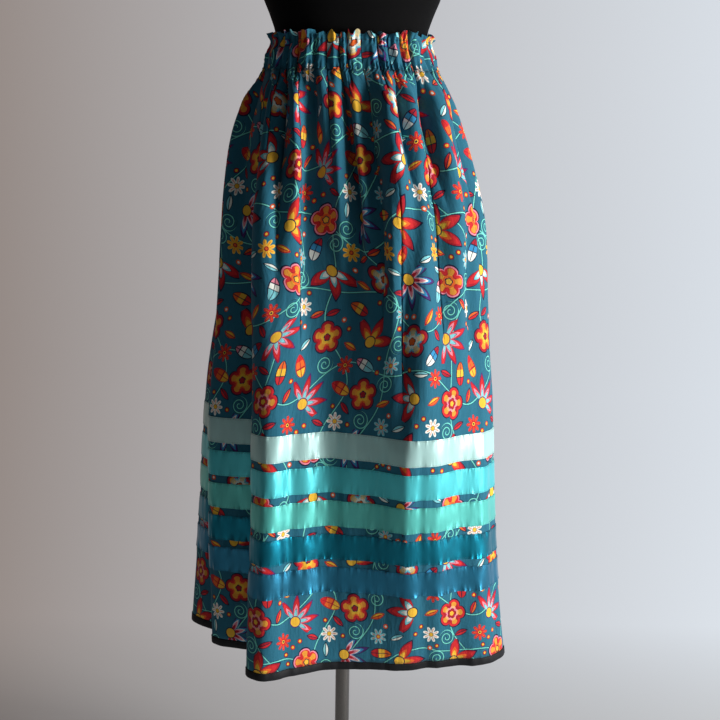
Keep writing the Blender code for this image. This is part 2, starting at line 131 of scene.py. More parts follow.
FOLDS = (
    Fold(-0.216, 0.094, -0.203, 0.088, -117),
    Fold(-0.245, 0.062, -0.229, 0.056, -112),
    Fold(-0.226, 0.022, -0.217, 0.022, -105),
    Fold(-0.186, -0.004, -0.182, -0.014, -98),
    Fold(-0.204, -0.040, -0.204, -0.058, -91),
    Fold(-0.174, -0.063, -0.173, -0.080, -84),
    Fold(-0.138, -0.070, -0.134, -0.086, -78),
    Fold(-0.113, -0.092, -0.108, -0.106, -72),
    Fold(-0.126, -0.130, -0.121, -0.140, -67),
    Fold(-0.139, -0.163, -0.133, -0.168, -62),
    Fold(-0.112, -0.186, -0.104, -0.192, -54),
    Fold(-0.068, -0.163, -0.062, -0.170, -42),
    Fold(-0.030, -0.142, -0.026, -0.154, -29),
    Fold(0.016, -0.138, 0.014, -0.167, -13),
    Fold(0.066, -0.139, 0.058, -0.193, 5),
    Fold(0.110, -0.134, 0.098, -0.206, 22),
    Fold(0.169, -0.122, 0.150, -0.181, 42),
    Fold(0.211, -0.110, 0.188, -0.150, 58),
    Fold(0.238, -0.088, 0.208, -0.125, 70),
    Fold(0.248, -0.060, 0.215, -0.095, 79),
    Fold(0.238, -0.028, 0.203, -0.062, 87),
    Fold(0.207, -0.012, 0.180, -0.040, 94),
    Fold(0.232, 0.032, 0.208, 0.010, 101),
    Fold(0.214, 0.066, 0.194, 0.045, 109),
    Fold(0.168, 0.072, 0.152, 0.062, 117),
    Fold(0.176, 0.118, 0.162, 0.108, 126),
    Fold(0.146, 0.148, 0.138, 0.138, 135),
    Fold(0.100, 0.132, 0.094, 0.126, 144),
    Fold(0.082, 0.176, 0.078, 0.166, 153),
    Fold(0.040, 0.190, 0.038, 0.180, 163),
    Fold(0.006, 0.156, 0.006, 0.148, 173),
    Fold(-0.032, 0.186, -0.030, 0.178, 184),
    Fold(-0.074, 0.184, -0.070, 0.176, 195),
    Fold(-0.102, 0.146, -0.096, 0.140, 205),
    Fold(-0.142, 0.164, -0.134, 0.156, 216),
    Fold(-0.172, 0.138, -0.162, 0.132, 226),
    Fold(-0.176, 0.098, -0.166, 0.094, 236),
)

CREASES = (
    Crease(0.020, 0.05, 0.020, 0.60, -0.0075, 0.030),
    Crease(0.070, 0.07, 0.066, 0.50, -0.004, 0.016),
    Crease(0.100, 0.07, 0.094, 0.42, 0.004, 0.016),
    Crease(0.166, 0.06, 0.148, 0.40, -0.004, 0.014),
    Crease(0.192, 0.08, 0.188, 0.45, 0.004, 0.016),
    Crease(0.222, 0.05, 0.216, 0.26, -0.004, 0.012),
    Crease(0.239, 0.05, 0.238, 0.46, 0.0060, 0.011),
    Crease(0.256, 0.06, 0.254, 0.44, -0.0070, 0.012),
    Crease(0.285, 0.04, 0.278, 0.20, 0.004, 0.012),
    Crease(0.312, 0.05, 0.299, 0.34, 0.0045, 0.012),
    Crease(0.330, 0.06, 0.316, 0.42, -0.0055, 0.013),
    Crease(0.362, 0.05, 0.348, 0.44, -0.0055, 0.012),
    Crease(0.382, 0.05, 0.366, 0.46, 0.0055, 0.013),
    Crease(0.396, 0.20, 0.374, 0.56, -0.0065, 0.013),
    Crease(0.416, 0.18, 0.400, 0.56, 0.0045, 0.014),
    Crease(0.448, 0.05, 0.432, 0.46, -0.0080, 0.013),
    Crease(0.468, 0.07, 0.452, 0.46, 0.0050, 0.013),
    Crease(0.488, 0.11, 0.472, 0.54, -0.0055, 0.013),
    Crease(0.532, 0.08, 0.525, 0.42, 0.004, 0.016),
    Crease(0.568, 0.08, 0.565, 0.50, -0.004, 0.016),
    Crease(0.605, 0.07, 0.610, 0.44, 0.005, 0.014),
    Crease(0.632, 0.07, 0.640, 0.52, -0.006, 0.014),
    Crease(0.675, 0.06, 0.672, 0.40, 0.005, 0.014),
    Crease(0.704, 0.06, 0.718, 0.50, -0.006, 0.014),
    Crease(0.742, 0.06, 0.748, 0.46, 0.005, 0.014),
    Crease(0.796, 0.06, 0.806, 0.52, -0.006, 0.014),
    Crease(0.828, 0.06, 0.838, 0.44, 0.005, 0.014),
    Crease(0.882, 0.06, 0.892, 0.50, -0.006, 0.014),
    Crease(0.920, 0.06, 0.925, 0.42, 0.005, 0.014),
    Crease(0.970, 0.07, 0.977, 0.50, -0.005, 0.016),
)

LOW_CREASES = (
    Crease(0.213, 0.48, 0.210, 0.98, 0.0019, 0.013),
    Crease(0.238, 0.50, 0.236, 0.98, -0.0016, 0.010),
    Crease(0.256, 0.50, 0.254, 0.98, 0.0016, 0.012),
    Crease(0.340, 0.48, 0.344, 0.98, -0.0014, 0.022),
    Crease(0.383, 0.48, 0.380, 0.98, 0.0013, 0.012),
    Crease(0.401, 0.54, 0.399, 0.98, -0.0012, 0.009),
    Crease(0.420, 0.52, 0.418, 0.98, 0.0013, 0.010),
    Crease(0.450, 0.48, 0.447, 0.98, -0.0022, 0.014),
    Crease(0.480, 0.50, 0.477, 0.98, 0.0020, 0.014),
    Crease(0.030, 0.45, 0.034, 0.98, -0.0016, 0.014),
    Crease(0.100, 0.45, 0.096, 0.98, 0.0018, 0.015),
    Crease(0.548, 0.45, 0.544, 0.98, -0.0018, 0.014),
    Crease(0.590, 0.48, 0.594, 0.98, 0.0018, 0.014),
    Crease(0.655, 0.45, 0.650, 0.98, -0.0020, 0.014),
    Crease(0.690, 0.50, 0.694, 0.98, 0.0016, 0.013),
    Crease(0.770, 0.45, 0.766, 0.98, -0.0020, 0.014),
    Crease(0.812, 0.50, 0.816, 0.98, 0.0018, 0.013),
    Crease(0.868, 0.45, 0.864, 0.98, -0.0018, 0.014),
    Crease(0.940, 0.48, 0.944, 0.98, 0.0016, 0.015),
)

TUCKS = (
    Tuck(0.247, 0.246, 0.030, 0.05, 0.46),
    Tuck(0.449, 0.433, 0.026, 0.05, 0.44),
    Tuck(0.364, 0.350, 0.018, 0.05, 0.44),
    Tuck(0.331, 0.317, 0.014, 0.05, 0.34),
    Tuck(0.397, 0.375, 0.016, 0.20, 0.54),
    Tuck(0.488, 0.473, 0.014, 0.10, 0.46),
    Tuck(0.640, 0.645, 0.022, 0.05, 0.48),
    Tuck(0.795, 0.805, 0.022, 0.05, 0.46),
    Tuck(0.884, 0.892, 0.022, 0.05, 0.44),
)

SPREAD_DROPS = (0.0, 0.03, 0.05, 0.065, 0.094, 0.122, 0.15, 0.18, 0.238, 0.348, 0.45, 0.52, 0.57)
SPREAD_SHARES = (0.0, 0.03, 0.08, 0.155, 0.25, 0.315, 0.39, 0.485, 0.655, 0.81, 0.925, 0.985, 1.0)

FORM_SECTIONS = (
    Section(-0.300, 0.136, 0.092, 0.092),
    Section(-0.288, 0.148, 0.104, 0.106),
    Section(-0.250, 0.154, 0.109, 0.114),
    Section(-0.200, 0.154, 0.109, 0.116),
    Section(-0.150, 0.147, 0.105, 0.110),
    Section(-0.100, 0.133, 0.098, 0.099),
    Section(-0.050, 0.1155, 0.090, 0.088),
    Section(-0.028, 0.1111, 0.087, 0.084),
    Section(-0.009, 0.1096, 0.086, 0.082),
    Section(0.000, 0.1097, 0.086, 0.082),
    Section(0.025, 0.1170, 0.090, 0.084),
    Section(0.052, 0.1278, 0.096, 0.087),
    Section(0.100, 0.1410, 0.108, 0.093),
    Section(0.160, 0.1500, 0.121, 0.098),
    Section(0.220, 0.1530, 0.125, 0.100),
    Section(0.280, 0.1560, 0.114, 0.099),
    Section(0.325, 0.1660, 0.096, 0.093),
    Section(0.352, 0.1700, 0.084, 0.085),
    Section(0.372, 0.1580, 0.076, 0.078),
    Section(0.388, 0.1280, 0.069, 0.072),
    Section(0.402, 0.0930, 0.062, 0.065),
    Section(0.416, 0.0700, 0.057, 0.059),
    Section(0.440, 0.0570, 0.053, 0.054),
    Section(0.475, 0.0550, 0.052, 0.053),
)


def curve_through(knots: Sequence[float], rows: Sequence[Sequence[float]], at: np.ndarray) -> np.ndarray:
    """Reads a smooth curve through rows of values.

    Args:
        knots: Rising positions of the rows.
        rows: A row of values for each knot.
        at: Positions to read; past each end the curve holds still.

    Returns:
        One row of values for each position.
    """
    knot, row = np.asarray(knots, float), np.asarray(rows, float)
    at = np.clip(np.ravel(at), knot[0], knot[-1])
    slopes = np.gradient(row, knot, axis=0)
    first = np.clip(np.searchsorted(knot, at, side="right") - 1, 0, len(knot) - 2)
    span = (knot[first + 1] - knot[first])[:, None]
    part = (at - knot[first])[:, None] / span
    return (
        (2 * part**3 - 3 * part**2 + 1) * row[first]
        + (part**3 - 2 * part**2 + part) * span * slopes[first]
        + (3 * part**2 - 2 * part**3) * row[first + 1]
        + (part**3 - part**2) * span * slopes[first + 1]
    )


def smooth_step(low: float, high: float, value: np.ndarray) -> np.ndarray:
    """Gives 0 below low, 1 above high, and an even rise between."""
    part = np.clip((value - low) / (high - low), 0, 1)
    return part * part * (3 - 2 * part)


def waves(parts: Waves, place: np.ndarray, level: float = 0.0) -> np.ndarray:
    """Sums waves that close round the skirt.

    Args:
        parts: Each wave's height, turns a round and phase in radians.
        place: Places round the skirt.
        level: What the waves are added to.

    Returns:
        The sum at each place.
    """
    total = level
    for height, turns, phase in parts:
        total = total + height * np.sin(TAU * turns * place + phase)
    return total


def bell(value: np.ndarray, middle: float, reach: float) -> np.ndarray:
    """Gives 1 at a middle and falls off evenly to both sides."""
    return np.exp(-(((value - middle) / reach) ** 2))


@dataclass(frozen=True)
class Torso:
    """The limbless form's shape as level super-ellipses."""

    sections: tuple[Section, ...] = FORM_SECTIONS
    squareness: float = 2.25

    def radius(self, bearing: np.ndarray, height: np.ndarray) -> np.ndarray:
        """Measures from the axis to the surface.

        Args:
            bearing: Radians from the front towards +X.
            height: Metres over the waist edge, of a shape that matches bearing's.

        Returns:
            The distance in metres, shaped as both together.
        """
        rows = [(s.half_width, s.front, s.back) for s in self.sections]
        sizes = curve_through([s.height for s in self.sections], rows, height)
        width, front, back = (v.reshape(np.shape(height)) for v in sizes.T)
        along = np.cos(bearing)
        depth = np.where(along > 0, front, back)
        across, forth = np.abs(np.sin(bearing)) / width, np.abs(along) / depth
        return (across**self.squareness + forth**self.squareness) ** (-1 / self.squareness)


class Ripple:
    """Smooth uneven bumps over the flat cloth that close round the skirt."""

    def __init__(self, seed: int, wide: float, tall: float, flat_round: float) -> None:
        """Draws the heights of the lattice.

        Args:
            seed: Starts the random heights.
            wide: Lattice step along the cloth in metres.
            tall: Lattice step down the cloth in metres.
            flat_round: Length of the cloth all round in metres.
        """
        self.steps = max(4, round(flat_round / wide))
        self.wide = flat_round / self.steps
        self.tall = tall
        self.heights = np.random.default_rng(seed).uniform(-1, 1, (self.steps, 64))

    def at(self, length: np.ndarray, drop: np.ndarray) -> np.ndarray:
        """Reads the bumps, from -1 to 1, at lengths along and drops down the cloth.

        Args:
            length: Metres along the flat cloth.
            drop: Metres below the waist edge.

        Returns:
            The bumps, shaped as both together.
        """
        across, down = length / self.wide, drop / self.tall + 3
        i, j = np.floor(across).astype(int), np.floor(down).astype(int)
        s, t = across - i, down - j
        s, t = s * s * (3 - 2 * s), t * t * (3 - 2 * t)
        left, right = i % self.steps, (i + 1) % self.steps
        upper = self.heights[left, j] * (1 - s) + self.heights[right, j] * s
        lower = self.heights[left, j + 1] * (1 - s) + self.heights[right, j + 1] * s
        return upper * (1 - t) + lower * t


@dataclass(frozen=True)
class Gathers:
    """How the gathered cloth stands out.

    Heights are in metres, a fade is a pair of reaches below the casing's stitch line, and a drop is below the
    waist edge.
    """

    drift: Waves = ((0.0057, 9, 1.0), (0.0039, 17, 2.1))
    wander: Waves = ((0.0055, 7, 0.5), (0.0032, 19, 1.0))
    unevenness: Waves = ((0.28, 5, 0.4), (0.34, 13, 0.0))
    crest_power: float = 0.6
    header_height: float = 0.0044
    channel_height: float = 0.0013
    channel_swell: float = 0.0024
    channel_fade: tuple[float, float] = (0.02, 0.13)
    header_pinch: float = 0.009
    seam_pinch: float = 0.013
    pucker_height: float = 0.0006
    pucker_pinch: float = 0.0010
    pucker_fade: tuple[float, float] = (0.010, 0.07)
    pucker_shift: Waves = ((2.2, 8, 0.0),)
    pair_power: float = 0.62
    pair_height: float = 0.0096
    pair_start: float = 0.05
    pair_fade_drop: float = 0.16
    pair_end_drop: float = 0.36
    pair_ends: Waves = ((0.10, 6, 0.7), (0.06, 11, 0.0))
    casing_bulge: float = 0.0022
    header_flare: float = 0.0018


@dataclass
class Drape:
    """The hanging skirt as a surface over the flat cloth."""

    waist_height: float = WAIST_HEIGHT
    length: float = 0.914
    casing: float = 0.050
    header: float = 0.009
    header_ruffle: float = 0.0046
    gathers: int = 42
    flat_round: float = 1.64
    ribbon_level: float = 0.570
    casing_fullness: float = 0.0042
    form_clearance: float = 0.008
    furrow_clearance: float = 0.0030
    samples: int = 3200  # even, so that a sample lies on each side seam
    tuck_width: float = 0.0016  # as a share of the round
    crease_gain: float = 1.9
    ribbon_softness: float = 0.005
    hem_softness: float = 0.007
    deepest_tuck: float = 0.009
    tuck_clearance: float = 0.0022  # least room between a tuck's inside and the form
    named_reach: float = 0.012  # a gather nearer than this to a named tuck stays short
    binding_top: float = 0.902
    slide: tuple[float, float] = (0.05, 0.4)  # drop where lines start to wander, and over how much
    gather_shape: Gathers = Gathers()
    torso: Torso = field(default_factory=Torso)

    def __post_init__(self) -> None:
        """Works out the outlines from above, the gathers and the uneven ripples."""
        columns = [(f.hem_x, f.hem_y, f.ribbon_x, f.ribbon_y, f.waist_bearing) for f in FOLDS]
        turned = [(*c[:4], c[4] - 360) for c in columns]
        again = [(*c[:4], c[4] + 360) for c in columns]
        ring = np.array(turned[-2:] + columns + again[:3])
        steps = np.linspace(2, len(columns) + 2, 2400)
        dense = curve_through(np.arange(len(ring)), ring, steps)
        pace = np.hypot(*np.diff(dense[:, 2:4], axis=0).T) + np.hypot(*np.diff(dense[:, :2], axis=0).T)
        share = np.concatenate([[0], np.cumsum(pace)])
        share /= share[-1]
        known = (share + (dense[:, 4] - dense[0, 4]) / 360) / 2
        self.places = np.linspace(0, 1, self.samples + 1)
        soft = (self.hem_softness, self.hem_softness, self.ribbon_softness, self.ribbon_softness)
        self.outlines = [self.rounded(np.interp(self.places, known, dense[:, i]), soft[i]) for i in range(4)]
        self.bearing = np.radians(np.interp(self.places, known, dense[:, 4]))
        self.phase = self.gather_phase(self.places)
        self.tucks = TUCKS + self.gather_tucks()
        self.broad = Ripple(3, 0.055, 0.22, self.flat_round)
        self.medium = Ripple(5, 0.019, 0.16, self.flat_round)
        self.fine = Ripple(8, 0.0085, 0.05, self.flat_round)

    def rounded(self, values: np.ndarray, reach: float) -> np.ndarray:
        """Softens the corners of a ring of values over a reach in places.

        Args:
            values: The ring, whose last value repeats its first.
            reach: Width of the softening, as a share of the round.

        Returns:
            The softened ring.
        """
        half = int(3 * reach * self.samples)
        weights = np.exp(-((np.arange(-half, half + 1) / (reach * self.samples)) ** 2) / 2)
        body = values[:-1]
        padded = np.concatenate([body[-half:], body, body[: half + 1]])
        return np.convolve(padded, weights / weights.sum(), mode="valid")

    def gather_phase(self, place: np.ndarray) -> np.ndarray:
        """Turns a place into the uneven run of the gathers, in radians."""
        return TAU * self.gathers * (place - 0.02 + waves(self.gather_shape.drift, place))

    def gather_tucks(self) -> tuple[Tuck, ...]:
        """Lists the folded lines between gathers; every second one runs on below the hips.

        Returns:
            A tuck for each gather.
        """
        place = np.linspace(0, 1, 20001)
        turns = self.gather_phase(place) / TAU
        uneven = np.random.default_rng(21).uniform(0, 1, (self.gathers + 2, 2))
        tucks = []
        for number in range(self.gathers):
            at = float(np.interp(number + 0.5 + math.floor(turns[0]), turns, place))
            named = min(abs(t.top_place - at) for t in TUCKS)
            long = number % 2 == 0 and named > self.named_reach
            reach = 0.20 + 0.22 * uneven[number, 0] if long else 0.08 + 0.07 * uneven[number, 0]
            hidden = 0.016 + 0.012 * uneven[number, 1]
            low = at + float(waves(self.gather_shape.wander, np.array(at)))
            tucks.append(Tuck(at, low, hidden, -0.05, reach))
        return tuple(tucks)

    def relief(self, drops: np.ndarray) -> np.ndarray:
        """Works out how far gathers and creases stand out of the smooth cloth.

        Args:
            drops: Drops of the rows in metres.

        Returns:
            Heights in metres, a row for each drop and a column for each place.
        """
        place, drop, shape = self.places[None, :], drops[:, None], self.gather_shape
        slide_from, slide_over = self.slide
        wander = waves(shape.wander, place) * np.clip((drop - slide_from) / slide_over, 0, 1)
        phase = np.interp(np.mod(place - wander, 1), self.places, self.phase)
        crest = 2 * ((1 + np.cos(phase)) / 2) ** shape.crest_power - 1
        in_header = 1 - smooth_step(0, self.header, drop)
        in_casing = np.sin(math.pi * smooth_step(self.header, self.casing, drop))
        channel = shape.channel_height + shape.channel_swell * in_casing
        channel = channel * (1 - self.below_casing(drop, *shape.channel_fade))
        pair = 2 * ((1 - np.sin(phase / 2)) / 2) ** shape.pair_power - 1
        pairs = shape.pair_height * self.below_casing(drop, 0, shape.pair_start)
        ends = waves(shape.pair_ends, place, shape.pair_end_drop)
        pairs = pairs * (1 - smooth_step(shape.pair_fade_drop, ends, drop))
        pinch = bell(drop, self.header, shape.header_pinch) + bell(drop, self.casing, shape.seam_pinch)
        pucker = shape.pucker_height + shape.pucker_pinch * pinch
        pucker = pucker * (1 - self.below_casing(drop, *shape.pucker_fade))
        small = np.cos(3 * phase + waves(shape.pucker_shift, place) + 12 * drop)
        gathered = (shape.header_height * in_header + channel) * crest + pairs * pair + pucker * small
        total = waves(shape.unevenness, place, 1.0) * gathered
        total = total + shape.casing_bulge * in_casing + shape.header_flare * in_header
        for crease in CREASES + LOW_CREASES:
            total = total + self.crease_gain * crease.relief(place, drop)
        return total

    def below_casing(self, drop: np.ndarray, low: float, high: float) -> np.ndarray:
        """Rises from 0 to 1 between two reaches below the casing's stitch line."""
        return smooth_step(self.casing + low, self.casing + high, drop)

    def clear_of_form(
        self, point: np.ndarray, drop: np.ndarray, first_drop: float, clearance: float, softness: float
    ) -> np.ndarray:
        """Pushes cloth out to a clearance from the form.

        Args:
            point: Points as rows, columns and coordinates.
            drop: A column of drops.
            first_drop: Drop where the push begins.
            clearance: Least distance in metres.
            softness: Metres over which the push sets in.

        Returns:
            The moved points.
        """
        x, y = point[..., 0], point[..., 1]
        reach = np.hypot(x, y)
        lowest = FORM_SECTIONS[0].height
        height = np.maximum(-drop, lowest)
        body = self.torso.radius(np.arctan2(x, -y), height) + clearance
        over = smooth_step(first_drop, first_drop + 0.03, drop) * (1 - smooth_step(-lowest, 0.5, drop))
        short = np.logaddexp(0, (body - reach) / softness) * softness * over
        grow = 1 + short / reach
        return point * np.stack([grow, grow, np.ones_like(grow)], axis=-1)

    def smooth(self, drops: np.ndarray) -> np.ndarray:
        """Places the cloth's rows without gathers or creases.

        Args:
            drops: Drops of the rows in metres.

        Returns:
            Points as rows, columns and coordinates.
        """
        drop = drops[:, None]
        waist = self.torso.radius(self.bearing[None, :], -np.minimum(drop, self.casing))
        waist = waist + self.casing_fullness
        waist_x, waist_y = waist * np.sin(self.bearing), -waist * np.cos(self.bearing)
        share = curve_through(SPREAD_DROPS, [[s] for s in SPREAD_SHARES], drops)
        hem_x, hem_y, ribbon_x, ribbon_y = (v[None, :] for v in self.outlines)
        down = np.clip((drop - self.ribbon_level) / (self.length - self.ribbon_level), 0, None) ** 1.5
        low_x, low_y = ribbon_x + (hem_x - ribbon_x) * down, ribbon_y + (hem_y - ribbon_y) * down
        x, y = waist_x + (low_x - waist_x) * share, waist_y + (low_y - waist_y) * share
        z = np.broadcast_to(self.waist_height - drop, x.shape)
        return self.clear_of_form(np.stack([x, y, z], axis=-1), drop, self.casing, self.form_clearance, 0.004)

    def normals(self, drops: np.ndarray, surface: Callable[[np.ndarray], np.ndarray]) -> np.ndarray:
        """Finds the outward directions of a surface that gives a grid of points for drops.

        Args:
            drops: Drops of the rows in metres.
            surface: Gives a grid of points for drops.

        Returns:
            Unit vectors as rows, columns and coordinates.
        """
        step = 0.0005
        middle = surface(drops)
        ring = np.concatenate([middle[:, -2:-1], middle, middle[:, 1:2]], axis=1)
        around = ring[:, 2:] - ring[:, :-2]
        down = surface(drops + step) - surface(drops - step)
        normal = np.cross(down, around)
        return normal / np.linalg.norm(normal, axis=-1, keepdims=True)

    def gathered(self, drops: np.ndarray) -> np.ndarray:
        """Places the cloth's rows with their gathers and creases.

        Args:
            drops: Drops of the rows in metres.

        Returns:
            Points as rows, columns and coordinates.
        """
        relief = self.relief(drops)[..., None]
        point = self.smooth(drops) + relief * self.normals(drops, self.smooth)
        return self.clear_of_form(point, drops[:, None], -0.03, self.furrow_clearance, 0.0008)

    def tuck_places(self, drops: np.ndarray) -> tuple[np.ndarray, np.ndarray]:
        """Finds where each tuck lies and how much it would hide.

        Args:
            drops: Drops of the rows.

        Returns:
            Places and hidden lengths in metres, a row for each drop and a column for each tuck.
        """
        drop = drops[:, None]
        top, low, hidden, first, last = (
            np.array([getattr(t, name) for t in self.tucks])[None, :]
            for name in ("top_place", "low_place", "hidden", "from_drop", "to_drop")
        )
        slide_from, slide_over = self.slide
        line = top + (low - top) * np.clip((drop - slide_from) / slide_over, 0, 1)
        closing = smooth_step(0, 1, (drop - first) / 0.04)
        opening = smooth_step(-0.14, 0, drop - last)
        return line, hidden * closing * (1 - opening)

    def half_spread(
        self, run: np.ndarray, line: np.ndarray, amount: np.ndarray, front: bool
    ) -> tuple[np.ndarray, np.ndarray]:
        """Shares one panel's cloth in a row among what shows and what its tucks hide.

        Args:
            run: Length along the row at each place of the panel, from its start.
            line: Places of the tucks.
            amount: What each tuck would hide, in metres.
            front: Whether this is the front panel, which comes first round the skirt.

        Returns:
            The flat cloth's length at each place of the row, and what each tuck hides.
        """
        panel = self.flat_round / 2
        spare = max(panel * 0.995 - run[-1], 0.0)
        amount = amount * min(1.0, spare / max(amount.sum(), 1e-6))
        places = self.places[: len(run)] if front else self.places[-len(run):]
        fold = np.clip((places[:, None] - line[None, :]) / self.tuck_width + 0.5, 0, 1)
        cloth = run + (fold * amount[None, :]).sum(axis=1)
        scale = panel / cloth[-1]
        return cloth * scale, amount * scale

    def spread(self, drops: np.ndarray, lengths: np.ndarray) -> tuple[np.ndarray, np.ndarray]:
        """Lays the flat cloth over the hanging surface.

        Args:
            drops: Drops of the rows in metres.
            lengths: Columns, as metres along the flat cloth.

        Returns:
            Points of the cloth's middle layer and their outward directions, as rows, columns and coordinates.
        """
        surface = self.gathered(drops)
        normal = self.normals(drops, self.gathered)
        steps = np.linalg.norm(np.diff(surface[..., :2], axis=1), axis=-1)
        run = np.concatenate([np.zeros((len(drops), 1)), np.cumsum(steps, axis=1)], axis=1)
        line, wanted = self.tuck_places(drops)
        middle = self.samples // 2
        points = np.empty((len(drops), len(lengths), 3))
        outward = np.empty_like(points)
        height = np.maximum(-drops, FORM_SECTIONS[0].height)
        for row in range(len(drops)):
            cloth = np.empty(self.samples + 1)
            amount = np.zeros(len(self.tucks))
            for front in (True, False):
                part = slice(0, middle + 1) if front else slice(middle, self.samples + 1)
                start = 0.0 if front else self.flat_round / 2
                own = (line[row] < 0.5) == front
                here = run[row, part] - run[row, part][0]
                laid, hides = self.half_spread(here, line[row][own], wanted[row][own], front)
                cloth[part], amount[own] = start + laid, hides
            place = np.interp(lengths, cloth, self.places)
            at = np.stack([np.interp(place, self.places, surface[row, :, k]) for k in range(3)], axis=-1)
            out = np.stack([np.interp(place, self.places, normal[row, :, k]) for k in range(3)], axis=-1)
            fold_middle = np.interp(line[row], self.places, cloth)
            across = (lengths[:, None] - fold_middle[None, :]) / np.maximum(amount, 1e-5)[None, :]
            tent = 0.5 * (1 + np.cos(2 * math.pi * np.clip(across, -0.5, 0.5)))
            depth = (tent * np.minimum(amount, self.deepest_tuck * 2)[None, :] / 2).sum(axis=1)
            body = self.torso.radius(np.arctan2(at[:, 0], -at[:, 1]), np.full(len(at), height[row]))
            room = np.maximum(np.hypot(at[:, 0], at[:, 1]) - body - self.tuck_clearance, 0.0)
            free = smooth_step(0.30, 0.34, drops[row])
            depth = depth * free + np.minimum(depth, room) * (1 - free)
            points[row] = at - out * depth[:, None]
            outward[row] = out
        return points, outward

    def ripple(self, lengths: np.ndarray, drops: np.ndarray) -> np.ndarray:
        """Works out the small ripples: broad ones all over, fine ones beside the sewn ribbons and the hem.

        Args:
            lengths: Columns, as metres along the flat cloth.
            drops: Drops of the rows in metres.

        Returns:
            Heights in metres, as rows and columns.
        """
        length, drop = np.meshgrid(lengths, drops)
        upper = smooth_step(0.06, 0.14, drop)
        low = smooth_step(0.48, 0.60, drop)
        broad = (0.0016 * upper + 0.0008 * low) * self.broad.at(length, drop)
        medium = (0.0006 * upper + 0.0006 * low) * self.medium.at(length, drop)
        edge = np.zeros_like(drop)
        for top, bottom in ribbon_edges():
            for seam in (top, bottom):
                edge = np.maximum(edge, bell(drop, seam, 0.011))
        edge = np.maximum(edge, 0.3 * bell(drop, self.binding_top, 0.018))
        edge = edge * (0.35 + 0.95 * smooth_step(0.60, 0.74, drop))
        fine = (0.00022 * upper + 0.00095 * edge) * self.fine.at(length, drop)
        return broad + medium + fine

    def points(self, lengths: np.ndarray, drops: np.ndarray, lifts: np.ndarray) -> np.ndarray:
        """Places a grid of the cloth.

        Args:
            lengths: Columns, as metres along the flat cloth.
            drops: Rows, as drops in metres; several rows may share a drop.
            lifts: Height of each row over the cloth's middle layer.

        Returns:
            Points as rows, columns and coordinates.
        """
        known, back = np.unique(drops, return_inverse=True)
        middle, outward = self.spread(known, lengths)
        rise = self.ripple(lengths, known)[back] + np.asarray(lifts)[:, None]
        points = middle[back] + outward[back] * rise[..., None]
        ruffle = self.header_ruffle * (1 - smooth_step(0, self.header, np.asarray(drops)))[:, None]
        points[..., 2] += ruffle * (self.medium.at(lengths * 2, np.zeros_like(lengths)) + 0.2)[None, :]
        return points


RIBBON_COUNT = 5
RIBBON_WIDTH = 0.038
RIBBON_PITCH = 0.050
FIRST_RIBBON = 0.552


def ribbon_edges() -> list[tuple[float, float]]:
    """Lists the top and bottom drop of each ribbon."""
    tops = [FIRST_RIBBON + number * RIBBON_PITCH for number in range(RIBBON_COUNT)]
    return [(top, top + RIBBON_WIDTH) for top in tops]


class Wire:
    """A number that flows between shader nodes, with Python's operators."""

    def __init__(self, shade: "Shade", socket: Socket) -> None:
        """Wraps an output socket of the shader tree."""
        self.shade = shade
        self.socket = socket

    def math(self, operation: str, *others: "Wire | float", swap: bool = False) -> "Wire":
        """Adds a Math node on this number and others; swap puts this number second."""
        values = [self, *others] if not swap else [*others, self]
        return self.shade.number("ShaderNodeMath", {"operation": operation}, dict(enumerate(values)))

    def __add__(self, other: "Wire | float") -> "Wire":
        """Sum."""
        return self.math("ADD", other)

    __radd__ = __add__

    def __sub__(self, other: "Wire | float") -> "Wire":
        """Difference."""
        return self.math("SUBTRACT", other)

    def __rsub__(self, other: "Wire | float") -> "Wire":
        """Difference from a plain number."""
        return self.math("SUBTRACT", other, swap=True)

    def __mul__(self, other: "Wire | float") -> "Wire":
        """Product."""
        return self.math("MULTIPLY", other)

    __rmul__ = __mul__

    def __truediv__(self, other: "Wire | float") -> "Wire":
        """Quotient."""
        return self.math("DIVIDE", other)

    def __rtruediv__(self, other: "Wire | float") -> "Wire":
        """Quotient of a plain number."""
        return self.math("DIVIDE", other, swap=True)

    def __pow__(self, other: "Wire | float") -> "Wire":
        """Power."""
        return self.math("POWER", other)

    def __lt__(self, other: "Wire | float") -> "Wire":
        """1 where this number is below the other, else 0."""
        return self.math("LESS_THAN", other)

    def __gt__(self, other: "Wire | float") -> "Wire":
        """1 where this number is above the other, else 0."""
        return self.math("GREATER_THAN", other)

    def __abs__(self) -> "Wire":
        """Size without its sign."""
        return self.math("ABSOLUTE")

    def within(self, middle: float, reach: float = 0.5) -> "Wire":
        """1 where this number lies within a reach of a middle, else 0."""
        return self.math("COMPARE", middle, reach)


def screen(red: int, green: int, blue: int) -> Colour:
    """Turns a screen colour, 0 to 255, into scene-linear values.

    Args:
        red: Red part.
        green: Green part.
        blue: Blue part.

    Returns:
        The linear colour.
    """
    parts = [(v / 255 + 0.055) / 1.055 for v in (red, green, blue)]
    linear = [v**2.4 for v in parts]
    return tuple(linear)


